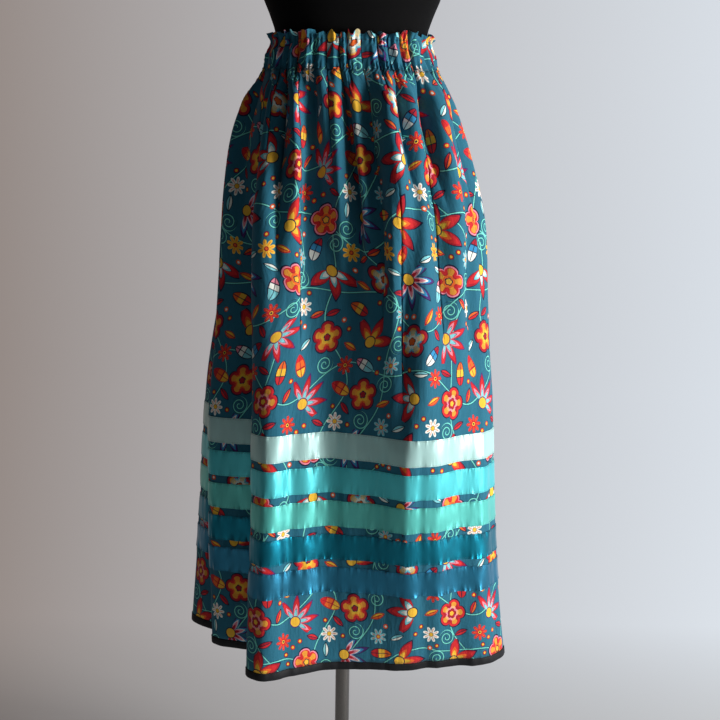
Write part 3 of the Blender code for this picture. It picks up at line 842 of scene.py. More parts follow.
class Shade:
    """Builds one material's nodes."""

    def __init__(self, name: str) -> None:
        """Starts a material with its Principled shader.

        Args:
            name: Name of the material.
        """
        self.material = bpy.data.materials.new(name)
        self.material.use_nodes = True
        self.tree = self.material.node_tree
        self.shader = self.tree.nodes["Principled BSDF"]

    def node(self, kind: str, settings: Settings, inputs: Inputs) -> bpy.types.Node:
        """Adds a node.

        Args:
            kind: The node's type.
            settings: Attributes to set first; "stops" lists a ramp's (position, colour) pairs.
            inputs: Values, wires or output sockets for its sockets, by number or name.

        Returns:
            The node.
        """
        made = self.tree.nodes.new(kind)
        for name, value in settings.items():
            if name == "stops":
                self.set_stops(made.color_ramp, value)
            else:
                setattr(made, name, value)
        for name, value in inputs.items():
            socket = made.inputs[name]
            if isinstance(value, Wire):
                value = value.socket
            if isinstance(value, Socket):
                self.tree.links.new(value, socket)
            else:
                socket.default_value = value
        return made

    @staticmethod
    def set_stops(ramp: bpy.types.ColorRamp, stops: Sequence[tuple[float, Colour]]) -> None:
        """Fills a colour ramp with stops that hold their colour up to the next.

        Args:
            ramp: The ramp to fill.
            stops: Position and colour of each stop, in order.
        """
        ramp.interpolation = "CONSTANT"
        while len(ramp.elements) < len(stops):
            ramp.elements.new(1.0)
        for element, (position, colour) in zip(ramp.elements, stops):
            element.position = position
            element.color = (*colour, 1.0)

    def number(self, kind: str, settings: Settings, inputs: Inputs) -> Wire:
        """Adds a node and wraps its first output."""
        return Wire(self, self.node(kind, settings, inputs).outputs[0])

    def vector(self, operation: str, *values: object) -> Socket:
        """Adds a Vector Math node and gives its output."""
        made = self.node("ShaderNodeVectorMath", {"operation": operation}, dict(enumerate(values)))
        return made.outputs["Value" if operation in ("LENGTH", "DOT_PRODUCT", "DISTANCE") else "Vector"]

    def pair(self, x: object, y: object, z: object = 0.0) -> Socket:
        """Joins numbers into a vector."""
        return self.node("ShaderNodeCombineXYZ", {}, {0: x, 1: y, 2: z}).outputs[0]

    def split(self, vector: Socket) -> tuple[Wire, Wire, Wire]:
        """Takes a vector apart."""
        outputs = self.node("ShaderNodeSeparateXYZ", {}, {0: vector}).outputs
        return Wire(self, outputs[0]), Wire(self, outputs[1]), Wire(self, outputs[2])

    def mix_vector(self, mask: Wire, low: object, high: object) -> Socket:
        """Gives one vector where the mask is 0 and another where it is 1."""
        settings = {"data_type": "VECTOR", "clamp_factor": False}
        return self.node("ShaderNodeMix", settings, {0: mask, 4: low, 5: high}).outputs[1]

    def mix_colour(self, mask: Wire | float, low: object, high: object, blend: str = "MIX") -> Socket:
        """Lays one colour over another by a mask.

        Args:
            mask: Share of the upper colour.
            low: Lower colour.
            high: Upper colour.
            blend: How the upper colour is laid on.

        Returns:
            The mixed colour.
        """
        low, high = ((*v, 1.0) if isinstance(v, tuple) and len(v) == 3 else v for v in (low, high))
        settings = {"data_type": "RGBA", "blend_type": blend}
        return self.node("ShaderNodeMix", settings, {0: mask, 6: low, 7: high}).outputs[2]

    def ramp(self, at: Wire, stops: Sequence[tuple[float, Colour]]) -> Socket:
        """Reads a colour from a row of bands."""
        return self.node("ShaderNodeValToRGB", {"stops": stops}, {0: at}).outputs[0]

    def toned(self, colour: object, tone: Wire) -> Socket:
        """Makes a colour lighter or darker by a number."""
        return self.mix_colour(1.0, colour, self.pair(tone, tone, tone), "MULTIPLY")

    def noise(self, place: object, scale: float, detail: float = 2.0) -> Wire:
        """Adds smooth noise from 0 to 1."""
        return self.number("ShaderNodeTexNoise", {}, {"Vector": place, "Scale": scale, "Detail": detail})

    def stretched(self, place: Socket, across: float, down: float, scale: float, detail: float) -> Wire:
        """Adds noise on a place that is first scaled across and down the cloth."""
        return self.noise(self.vector("MULTIPLY", place, (across, down, 0.0)), scale, detail)

    def between(self, value: Wire, low: float, high: float, to_low: float = 0, to_high: float = 1) -> Wire:
        """Maps a range onto another, clamped."""
        inputs = {0: value, 1: low, 2: high, 3: to_low, 4: to_high}
        return self.number("ShaderNodeMapRange", {"clamp": True}, inputs)

    def object_place(self) -> Socket:
        """Gives the Object coordinates."""
        return self.node("ShaderNodeTexCoord", {}, {}).outputs["Object"]

    def cloth_place(self) -> Socket:
        """Gives the flat cut's coordinates from the UV map, in millimetres."""
        flat = self.node("ShaderNodeUVMap", {"uv_map": "cut"}, {}).outputs[0]
        return self.vector("MULTIPLY", flat, (1000.0, 1000.0, 0.0))

    def bump(self, height: Wire, distance: float, strength: float = 1.0) -> None:
        """Feeds a height in units of the distance into the shader's normal."""
        made = self.node("ShaderNodeBump", {}, {"Height": height, "Distance": distance, "Strength": strength})
        self.tree.links.new(made.outputs[0], self.shader.inputs["Normal"])

    def finish(self, **sockets: object) -> Material:
        """Feeds the shader's sockets, named with underscores for spaces, and gives the material.

        Args:
            sockets: Value, wire or output socket for each socket.

        Returns:
            The material.
        """
        for name, value in sockets.items():
            socket = self.shader.inputs[name.replace("_", " ")]
            if isinstance(value, Wire):
                value = value.socket
            if isinstance(value, Socket):
                self.tree.links.new(value, socket)
            elif isinstance(value, tuple) and len(value) == 3:
                socket.default_value = (*value, 1.0)
            else:
                socket.default_value = value
        return self.material


@dataclass(frozen=True)
class PlainFinish:
    """A simple finish with fine grain."""

    name: str
    colour: Colour
    roughness: float
    metallic: float = 0.0
    grain: float = 900.0
    depth: float = 0.0001
    specular: float = 0.5

    def material(self) -> Material:
        """Builds the material.

        Returns:
            The material.
        """
        shade = Shade(self.name)
        grain = shade.noise(shade.object_place(), self.grain)
        shade.bump(grain, self.depth)
        return shade.finish(
            Base_Color=shade.toned(self.colour, shade.between(grain, 0.3, 0.7, 0.85, 1.1)),
            Roughness=self.roughness,
            Metallic=self.metallic,
            Specular_IOR_Level=self.specular,
        )


TURNS = 16
TINT_COUNT = 4
CODE_SCALE = 1000  # keeps a motif's code far below a millimetre beside its place


class Motif(Enum):
    """The printed motifs, with the radius of each in millimetres and how many lie in a repeat."""

    BLOSSOM = (0, 25.0, 7)
    TULIP = (1, 30.0, 10)
    DAISY = (2, 13.5, 14)
    BUD = (3, 17.0, 12)
    SPIRAL = (4, 14.0, 12)
    LEAF = (5, 12.5, 26)
    BERRY = (6, 4.0, 34)

    @property
    def code(self) -> int:
        """Number of the motif in the chart."""
        return self.value[0]

    @property
    def radius(self) -> float:
        """Radius in millimetres."""
        return self.value[1]

    @property
    def count(self) -> int:
        """How many lie in one repeat."""
        return self.value[2]


@dataclass(frozen=True)
class Placed:
    """A motif in the repeat: its middle in millimetres, its turn in sixteenths and its tint from 0 to 3."""

    motif: Motif
    x: float
    y: float
    turn: int
    tint: int

    @property
    def code(self) -> float:
        """Motif, tint and turn as one small number, which rides along as a third coordinate."""
        return ((self.motif.code * TINT_COUNT + self.tint) * TURNS + self.turn) / CODE_SCALE


NAVY = screen(18, 24, 58)
PLUM = screen(70, 38, 110)
CRIMSON = screen(172, 20, 40)
RED = screen(208, 38, 44)
ORANGE = screen(234, 104, 40)
GOLD = screen(242, 188, 58)
IVORY = screen(236, 240, 232)
ICE = screen(128, 206, 216)
SKY = screen(50, 140, 190)
ROSE = screen(236, 140, 160)
TEAL = screen(34, 104, 128)
DEEP_TEAL = screen(12, 52, 68)
VINE = screen(114, 212, 200)

TINTS = {
    Motif.BLOSSOM: (
        ((0, GOLD), (0.17, NAVY), (0.22, ORANGE), (0.42, CRIMSON), (0.47, RED), (0.8, ROSE), (0.9, NAVY)),
        ((0, CRIMSON), (0.17, NAVY), (0.22, GOLD), (0.42, ORANGE), (0.56, RED), (0.78, CRIMSON), (0.91, NAVY)),
        ((0, ORANGE), (0.2, NAVY), (0.25, IVORY), (0.44, ICE), (0.58, SKY), (0.66, CRIMSON), (0.91, NAVY)),
        ((0, GOLD), (0.15, CRIMSON), (0.3, NAVY), (0.34, ROSE), (0.5, CRIMSON), (0.74, RED), (0.91, NAVY)),
    ),
    Motif.TULIP: (
        ((0, GOLD), (0.12, IVORY), (0.40, ICE), (0.52, NAVY), (0.56, RED), (0.76, CRIMSON), (0.92, NAVY)),
        ((0, GOLD), (0.42, ORANGE), (0.56, RED), (0.80, CRIMSON), (0.92, NAVY)),
        ((0, GOLD), (0.22, ICE), (0.44, NAVY), (0.48, ROSE), (0.62, RED), (0.80, CRIMSON), (0.92, PLUM)),
        ((0, GOLD), (0.2, CRIMSON), (0.40, ROSE), (0.55, IVORY), (0.64, SKY), (0.78, PLUM), (0.93, NAVY)),
    ),
    Motif.DAISY: (
        ((0, ORANGE), (0.14, CRIMSON), (0.25, GOLD), (0.985, CRIMSON)),
        ((0, GOLD), (0.22, NAVY), (0.27, IVORY), (0.985, NAVY)),
        ((0, NAVY), (0.10, GOLD), (0.20, CRIMSON), (0.27, RED), (0.985, CRIMSON)),
        ((0, GOLD), (0.16, RED), (0.26, ICE), (0.985, NAVY)),
    ),
    Motif.BUD: (
        ((0, IVORY), (0.36, NAVY), (0.40, SKY), (0.62, NAVY), (0.66, CRIMSON), (0.97, NAVY)),
        ((0, RED), (0.30, NAVY), (0.34, GOLD), (0.60, ORANGE), (0.97, NAVY)),
        ((0, ICE), (0.38, NAVY), (0.42, IVORY), (0.64, NAVY), (0.68, ROSE), (0.97, NAVY)),
        ((0, GOLD), (0.30, CRIMSON), (0.36, ORANGE), (0.64, RED), (0.97, CRIMSON)),
    ),
    Motif.LEAF: (
        ((0, GOLD), (0.4, ORANGE), (0.97, CRIMSON)),
        ((0, RED), (0.4, CRIMSON), (0.97, NAVY)),
        ((0, ICE), (0.4, IVORY), (0.97, DEEP_TEAL)),
        ((0, ORANGE), (0.4, RED), (0.97, NAVY)),
    ),
    Motif.BERRY: (
        ((0, GOLD), (0.48, CRIMSON), (0.84, NAVY)),
        ((0, GOLD), (0.50, RED), (0.86, NAVY)),
        ((0, IVORY), (0.45, ORANGE), (0.84, CRIMSON)),
        ((0, GOLD), (0.48, CRIMSON), (0.84, NAVY)),
    ),
}  # four tints a motif, each with the colours that start at places in its bands


@dataclass(frozen=True)
class Spot:
    """Where a point of the cloth lies on its nearest motif, with that motif's kind and tint."""

    shade: Shade
    share: Wire  # distance from the motif's middle, as a share of its radius
    angle: Wire  # from the motif's own direction
    along: Wire  # share along that direction
    side: Wire  # share across it
    kind: Wire
    tint: Wire


@dataclass(frozen=True)
class VineLine:
    """A wavy printed vine: its place across, its two waves' size and phase, and whether it climbs."""

    across: float
    first: float
    first_phase: float
    second: float
    second_phase: float
    climbs: bool

    def offset(self, along: np.ndarray, period: float) -> np.ndarray:
        """Reads the line's place across for places along, in millimetres.

        Args:
            along: Places along the line.
            period: Length of the repeat along the line.

        Returns:
            The places across.
        """
        turn = TAU * along / period
        first = self.first * np.sin(turn + self.first_phase)
        return self.across + (first + self.second * np.sin(2 * turn + self.second_phase))


@dataclass
class FloralPrint:
    """An ordinary all-over floral: flowers, buds, leaves and berries among curling vines."""

    width: float = 328.0  # five repeats go round the skirt
    height: float = 320.0
    seed: int = 12
    tries: int = 300
    overlap: float = 3.5  # millimetres by which two motifs may run into each other
    vines: tuple[VineLine, ...] = (
        VineLine(60, 26, 0.4, 12, 2.0, False),
        VineLine(168, 22, 2.6, 15, 0.3, False),
        VineLine(272, 24, 4.4, 11, 4.0, False),
        VineLine(96, 28, 1.4, 10, 0.9, True),
        VineLine(262, 24, 3.7, 13, 3.0, True),
        VineLine(182, 20, 5.2, 14, 1.6, True),
    )

    def apart(self, x: float, y: float, other: Placed) -> float:
        """Measures from a place to a placed motif's middle, across the repeat's edges.

        Args:
            x: Millimetres across.
            y: Millimetres up.
            other: The placed motif.

        Returns:
            The distance in millimetres.
        """
        dx = (x - other.x + self.width / 2) % self.width - self.width / 2
        dy = (y - other.y + self.height / 2) % self.height - self.height / 2
        return math.hypot(dx, dy)

    def chart(self) -> list[Placed]:
        """Lays the motifs out: large ones first and far apart, then the small ones beside the vines.

        Returns:
            The motifs of one repeat.
        """
        draw = np.random.default_rng(self.seed)
        placed: list[Placed] = []
        for motif in Motif:
            for number in range(motif.count):
                best = (-1e9, 0.0, 0.0, 0.0)
                free_leaf = motif is Motif.LEAF and number % 2
                for _ in range(self.tries):
                    x, y = draw.uniform(0, self.width), draw.uniform(0, self.height)
                    angle = draw.uniform(0, TAU)
                    if motif in (Motif.SPIRAL, Motif.LEAF) and not free_leaf:
                        x, y, angle = self.beside_vine(draw, motif.radius)
                    room = min((self.apart(x, y, p) - p.motif.radius for p in placed), default=99.0)
                    if room - motif.radius > best[0]:
                        best = (room - motif.radius, x, y, angle)
                if best[0] < -self.overlap:
                    continue
                turn = round(best[3] / TAU * TURNS) % TURNS
                placed.append(Placed(motif, best[1], best[2], turn, (number + motif.code) % TINT_COUNT))
        return placed

    def beside_vine(self, draw: np.random.Generator, radius: float) -> tuple[float, float, float]:
        """Picks a place beside a vine and the direction away from it.

        Args:
            draw: Source of the random numbers.
            radius: Radius of the motif.

        Returns:
            The place in millimetres, and the direction in radians.
        """
        line = self.vines[int(draw.integers(len(self.vines)))]
        period = self.height if line.climbs else self.width
        along = draw.uniform(0, period)
        side = 1 if draw.uniform() < 0.5 else -1
        before, at, after = (float(line.offset(np.array(along + step), period)) for step in (-1.0, 0.0, 1.0))
        slope = (after - before) / 2
        steep = math.hypot(1, slope)
        out = side * (radius * 0.95)
        u, v = along - out * slope / steep, at + out / steep
        x, y = (v, u) if line.climbs else (u, v)
        away = math.atan2(-side * slope, side) if line.climbs else math.atan2(side, -side * slope)
        return x % self.width, y % self.height, away + draw.uniform(-0.5, 0.5)

    def nearest(self, shade: Shade, place: Socket) -> tuple[Wire, Socket]:
        """Finds the motif that a place belongs to.

        Args:
            shade: The material's nodes.
            place: Millimetres on the flat cloth.

        Returns:
            Distance from the motif's middle as a share of its radius, and the way from it with its code.
        """
        half = (self.width / 2, self.height / 2, 1.0)
        nearest, chosen = None, None
        for item in self.chart():
            way = shade.vector("SUBTRACT", place, (item.x, item.y, -item.code))
            way = shade.vector("WRAP", way, half, tuple(-v for v in half))
            share = Wire(shade, shade.vector("LENGTH", way)) * (1 / item.motif.radius)
            if nearest is None:
                nearest, chosen = share, way
                continue
            chosen = shade.mix_vector(share < nearest, chosen, way)
            nearest = nearest.math("MINIMUM", share)
        return nearest, chosen

    def vine_distance(self, shade: Shade, place: Socket) -> Wire:
        """Measures to the nearest vine in millimetres.

        Args:
            shade: The material's nodes.
            place: Millimetres on the flat cloth.

        Returns:
            The distance.
        """
        x, y, _ = shade.split(place)
        nearest = None
        for line in self.vines:
            along, across = (y, x) if line.climbs else (x, y)
            period, wrap = (self.height, self.width) if line.climbs else (self.width, self.height)
            turn = along * (TAU / period)
            first, second = turn + line.first_phase, turn * 2 + line.second_phase
            offset = first.math("SINE") * line.first + second.math("SINE") * line.second
            slope = first.math("COSINE") * (line.first * TAU / period)
            slope = slope + second.math("COSINE") * (line.second * 2 * TAU / period)
            off = (across - offset - line.across).math("WRAP", wrap / 2, -wrap / 2)
            reach = abs(off) / (slope * slope + 1).math("SQRT")
            nearest = reach if nearest is None else nearest.math("MINIMUM", reach)
        return nearest

    @staticmethod
    def lay(spot: Spot, motif: Motif, under: Socket, inside: Wire, band: Wire) -> Socket:
        """Lays one motif over the print where it is the nearest.

        Args:
            spot: Where the point lies on its nearest motif.
            motif: The motif to draw.
            under: The print so far.
            inside: 1 inside the motif's outline, else 0.
            band: Place from 0 to 1 in the motif's bands of colour.

        Returns:
            The print with the motif.
        """
        bands = []
        for number, tint in enumerate(TINTS[motif]):
            bands.extend(((number + at) / TINT_COUNT, colour) for at, colour in tint)
        level = (spot.tint + band.math("MINIMUM", 0.999).math("MAXIMUM", 0.0)) * (1 / TINT_COUNT)
        fill = spot.shade.ramp(level, bands)
        return spot.shade.mix_colour(inside * spot.kind.within(motif.code), under, fill)

    def colour(self, shade: Shade) -> Socket:
        """Draws the whole print.

        Args:
            shade: The material's nodes.

        Returns:
            The print's colour.
        """
        place = shade.cloth_place()
        share, way = self.nearest(shade, place)
        dx, dy, code = shade.split(way)
        code = (code * CODE_SCALE).math("ROUND")
        kind = (code * (1 / (TINT_COUNT * TURNS))).math("FLOOR")
        tint = ((code - kind * (TINT_COUNT * TURNS)) * (1 / TURNS)).math("FLOOR")
        turn = (code - kind * (TINT_COUNT * TURNS) - tint * TURNS) * (TAU / TURNS)
        angle = dy.math("ARCTAN2", dx) - turn
        along, side = share * angle.math("COSINE"), share * angle.math("SINE")
        spot = Spot(shade, share, angle, along, side, kind, tint)
        colour = self.lines(spot, self.vine_distance(shade, place))
        for draw in (self.blossom, self.tulip, self.daisy, self.bud, self.leaf):
            colour = draw(spot, colour)
        return self.lay(spot, Motif.BERRY, colour, share < 1, share)

    @staticmethod
    def lines(spot: Spot, vine: Wire) -> Socket:
        """Draws the ground with its vines, which curl where a spiral is the nearest motif.

        Args:
            spot: Where the point lies on its nearest motif.
            vine: Millimetres to the nearest vine.

        Returns:
            The print with its lines.
        """
        curl = (spot.share * 2.3 - spot.angle * (1 / TAU)).math("FRACT")
        curl = abs(curl - 0.5) * (Motif.SPIRAL.radius / 2.3)
        curl = curl + (spot.share > 0.96) * 9 + (spot.share < 0.12) * 9
        stroke = vine.math("MINIMUM", curl + (1 - spot.kind.within(Motif.SPIRAL.code)) * 99)
        colour = spot.shade.mix_colour(stroke < 1.6, TEAL, DEEP_TEAL)
        return spot.shade.mix_colour(stroke < 0.85, colour, VINE)

    def blossom(self, spot: Spot, under: Socket) -> Socket:
        """Draws the five-lobed blossoms, with a gold spot in some lobes.

        Args:
            spot: Where the point lies on its nearest motif.
            under: The print so far.

        Returns:
            The print with the motif.
        """
        lobe = abs((spot.angle * 2.5).math("COSINE"))
        edge = lobe ** 0.5 * 0.30 + 0.68
        drawn = self.lay(spot, Motif.BLOSSOM, under, spot.share < edge, spot.share / edge)
        drop = spot.share / (lobe * 0.34 + 0.42)
        inner = ((drop < 1) * (spot.share > 0.34)) * (lobe > 0.72)
        return spot.shade.mix_colour(inner * spot.kind.within(Motif.BLOSSOM.code) * 0.6, drawn, GOLD)

    def tulip(self, spot: Spot, under: Socket) -> Socket:
        """Draws the tulips, whose three or five petals fan out from a round base.

        Args:
            spot: Where the point lies on its nearest motif.
            under: The print so far.

        Returns:
            The print with the motif.
        """
        reach = spot.along + 0.55
        far = (reach * reach + spot.side * spot.side).math("SQRT")
        lean = spot.side.math("ARCTAN2", reach)
        fan = (lean * ((spot.tint > 1.5) * 0.5 + 0.95) + 0.5).math("FRACT")
        petal = 1 - abs((fan - 0.5) * 2)
        edge = petal ** 0.85 * 1.05 + 0.40
        inside = (far < edge) * (abs(lean) < 1.62)
        core = far < 0.30
        band = far / edge * (1 - core) + core * (far > 0.25) * 0.97
        return self.lay(spot, Motif.TULIP, under, inside.math("MAXIMUM", core), band)

    def daisy(self, spot: Spot, under: Socket) -> Socket:
        """Draws the eight-petalled daisies, with a dark rim and a stripe down each petal.

        Args:
            spot: Where the point lies on its nearest motif.
            under: The print so far.

        Returns:
            The print with the motif.
        """
        share = spot.share
        ray = abs((spot.angle * 4).math("COSINE"))
        edge = ray ** 0.55 * 0.93
        inside = (share < edge + 0.07).math("MAXIMUM", share < 0.5)
        rim = (share > edge) * (share > 0.26)
        band = share * (1 - rim) + rim * 0.99
        drawn = self.lay(spot, Motif.DAISY, under, inside, band)
        stripe = (ray > 0.93) * (share < 0.78) * (share > 0.3)
        return spot.shade.mix_colour(stripe * spot.kind.within(Motif.DAISY.code) * 0.7, drawn, ORANGE)

    def bud(self, spot: Spot, under: Socket) -> Socket:
        """Draws the striped buds, pointed at one end.

        Args:
            spot: Where the point lies on its nearest motif.
            under: The print so far.

        Returns:
            The print with the motif.
        """
        along, side = spot.along, abs(spot.side)
        wide = (1 - along).math("MAXIMUM", 0.0) ** 0.6 * (along + 1).math("MAXIMUM", 0.0) ** 0.5 * 0.52
        inside = (side < wide) * (abs(along) < 1)
        rim = (side > wide - 0.09).math("MAXIMUM", side < 0.035)
        band = (along + 1) * 0.46 * (1 - rim) + rim * 0.99
        return self.lay(spot, Motif.BUD, under, inside, band)

    def leaf(self, spot: Spot, under: Socket) -> Socket:
        """Draws the leaves, in two tints beside a vein.

        Args:
            spot: Where the point lies on its nearest motif.
            under: The print so far.

        Returns:
            The print with the motif.
        """
        side = abs(spot.side)
        wide = (1 - spot.along * spot.along) * 0.40
        rim = (side > wide - 0.10).math("MAXIMUM", side < 0.045)
        band = (spot.side > 0) * 0.5 * (1 - rim) + rim * 0.99
        return self.lay(spot, Motif.LEAF, under, side < wide, band)

    def material(self) -> Material:
        """Builds the printed cotton.

        Returns:
            The material.
        """
        shade = Shade("printed_cotton")
        place = shade.cloth_place()
        grain = shade.stretched(place, 1.0, 0.35, scale=2.6, detail=2.0)
        slub = shade.stretched(place, 0.25, 1.4, scale=1.4, detail=1.0)
        crinkle = shade.stretched(place, 0.16, 0.045, scale=1.0, detail=2.0)
        shade.bump((grain + slub) * 0.08 + crinkle, 0.0010)
        tone = shade.between(grain + slub, 0.7, 1.3, 0.92, 1.08)
        return shade.finish(
            Base_Color=shade.toned(self.colour(shade), tone),
            Roughness=0.85,
            Sheen_Weight=0.06,
            Sheen_Roughness=0.5,
            Specular_IOR_Level=0.3,
        )


@dataclass(frozen=True)
class Satin:
    """A glossy satin ribbon with fine threads along it and small puckers beside its stitches."""

    name: str
    colour: Colour
    metallic: float
    pucker_depth: float
    pucker_reach: float = 5.0  # millimetres

    def material(self) -> Material:
        """Builds the material.

        Returns:
            The material.
        """
        shade = Shade(self.name)
        place = shade.cloth_place()
        _, upward, _ = shade.split(place)
        pitch, width = RIBBON_PITCH * 1000, RIBBON_WIDTH * 1000
        down = ((upward * -1 - FIRST_RIBBON * 1000) * (1 / pitch)).math("FRACT") * pitch
        inside = down.math("MINIMUM", width - down)
        edge = (inside * (-1 / self.pucker_reach)).math("EXPONENT")
        notch = shade.between(shade.stretched(place, 0.095, 0.02, scale=1.0, detail=1.0), 0.47, 0.66)
        threads = shade.stretched(place, 0.05, 2.2, scale=1.6, detail=1.0)
        crush = shade.stretched(place, 0.03, 0.012, scale=1.0, detail=2.0)
        shade.bump(notch * edge + crush * 0.6 + threads * 0.004, self.pucker_depth)
        tone = shade.between(crush + threads * 0.12, 0.35, 0.75, 0.90, 1.10)
        return shade.finish(
            Base_Color=shade.toned(self.colour, tone),
            Roughness=0.32,
            Metallic=self.metallic,
            Specular_IOR_Level=0.5,
            Coat_Weight=0.12,
            Coat_Roughness=0.2,
        )


@dataclass(frozen=True)
class RibbonLook:
    """How one ribbon looks: its slot, tint, metallic share and the depth of its puckers."""

    slot: str
    tint: Colour
    metallic: float
    pucker_depth: float


RIBBON_LOOKS = (
    RibbonLook("ribbon_mint", screen(176, 218, 216), 0.20, 0.0013),
    RibbonLook("ribbon_aqua", screen(80, 204, 214), 0.48, 0.0013),
    RibbonLook("ribbon_turquoise", screen(96, 206, 198), 0.50, 0.0014),
    RibbonLook("ribbon_teal", screen(8, 124, 150), 0.88, 0.0022),
    RibbonLook("ribbon_petrol", screen(42, 126, 162), 0.84, 0.0022),
)  # from the uppermost down


def mesh_of(name: str, bm: bmesh.types.BMesh) -> bpy.types.Mesh:
    """Writes a bmesh to a new mesh and frees it.

    Args:
        name: Name of the mesh.
        bm: The shape.

    Returns:
        The mesh.
    """
    mesh = bpy.data.meshes.new(name)
    bm.to_mesh(mesh)
    bm.free()
    return mesh


def closed_mesh(name: str, bm: bmesh.types.BMesh) -> bpy.types.Mesh:
    """Turns a closed shape's faces outwards and writes it to a mesh that is smooth but for its edges.

    Args:
        name: Name of the mesh.
        bm: The closed shape.

    Returns:
        The mesh.
    """
    bmesh.ops.recalc_face_normals(bm, faces=bm.faces)
    mesh = mesh_of(name, bm)
    mesh.shade_smooth()
    mesh.set_sharp_from_angle(angle=SHARP_ANGLE)
    return mesh


@dataclass(frozen=True)
class ClothGrid:
    """A sheet of cloth as a grid over its flat cut."""

    name: str
    lengths: np.ndarray
    drops: np.ndarray
    ring: bool = False
    thickness: float = 0.0

    def build(self, points: np.ndarray, material: Material) -> Piece:
        """Bends the grid onto points.

        Args:
            points: Places of the grid's points, as rows, columns and coordinates.
            material: Finish of the piece.

        Returns:
            The object, with the cut's UV map in metres.
        """
        columns, rows = len(self.lengths) - 1, len(self.drops) - 1
        bm = bmesh.new()
        bmesh.ops.create_grid(bm, x_segments=columns, y_segments=rows, size=1.0)
        bmesh.ops.reverse_faces(bm, faces=bm.faces)
        mesh = mesh_of(self.name, bm)
        flat = np.empty(len(mesh.vertices) * 3)
        mesh.vertices.foreach_get("co", flat)
        flat = flat.reshape(-1, 3)
        column = np.rint((flat[:, 0] + 1) / 2 * columns).astype(int)
        row = np.rint((flat[:, 1] + 1) / 2 * rows).astype(int)
        mesh.vertices.foreach_set("co", points[row, column].ravel())
        corner = np.empty(len(mesh.loops), int)
        mesh.loops.foreach_get("vertex_index", corner)
        cut = np.stack([self.lengths[column[corner]], -self.drops[row[corner]]], axis=-1)
        mesh.uv_layers.new(name="cut").data.foreach_set("uv", cut.ravel())
        if self.ring:
            bm = bmesh.new()
            bm.from_mesh(mesh)
            bmesh.ops.remove_doubles(bm, verts=bm.verts, dist=WELD)
            bm.to_mesh(mesh)
            bm.free()
        mesh.shade_smooth()
        if self.ring:
            mesh.set_sharp_from_angle(angle=SHARP_ANGLE)
        made = new_object(self.name, mesh, material)
        if self.thickness:
            wall = made.modifiers.new("Cloth", "SOLIDIFY")
            wall.thickness = self.thickness
            wall.offset = -1.0
        return made


def new_object(name: str, mesh: bpy.types.Mesh, material: Material) -> Piece:
    """Links a mesh as an object that rides on the root body.

    Args:
        name: Name of the piece.
        mesh: Its mesh.
        material: Its finish.

    Returns:
        The object.
    """
    made = bpy.data.objects.new(name, mesh)
    mesh.materials.append(material)
    bpy.context.scene.collection.objects.link(made)
    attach(made, ROOT)
    return made


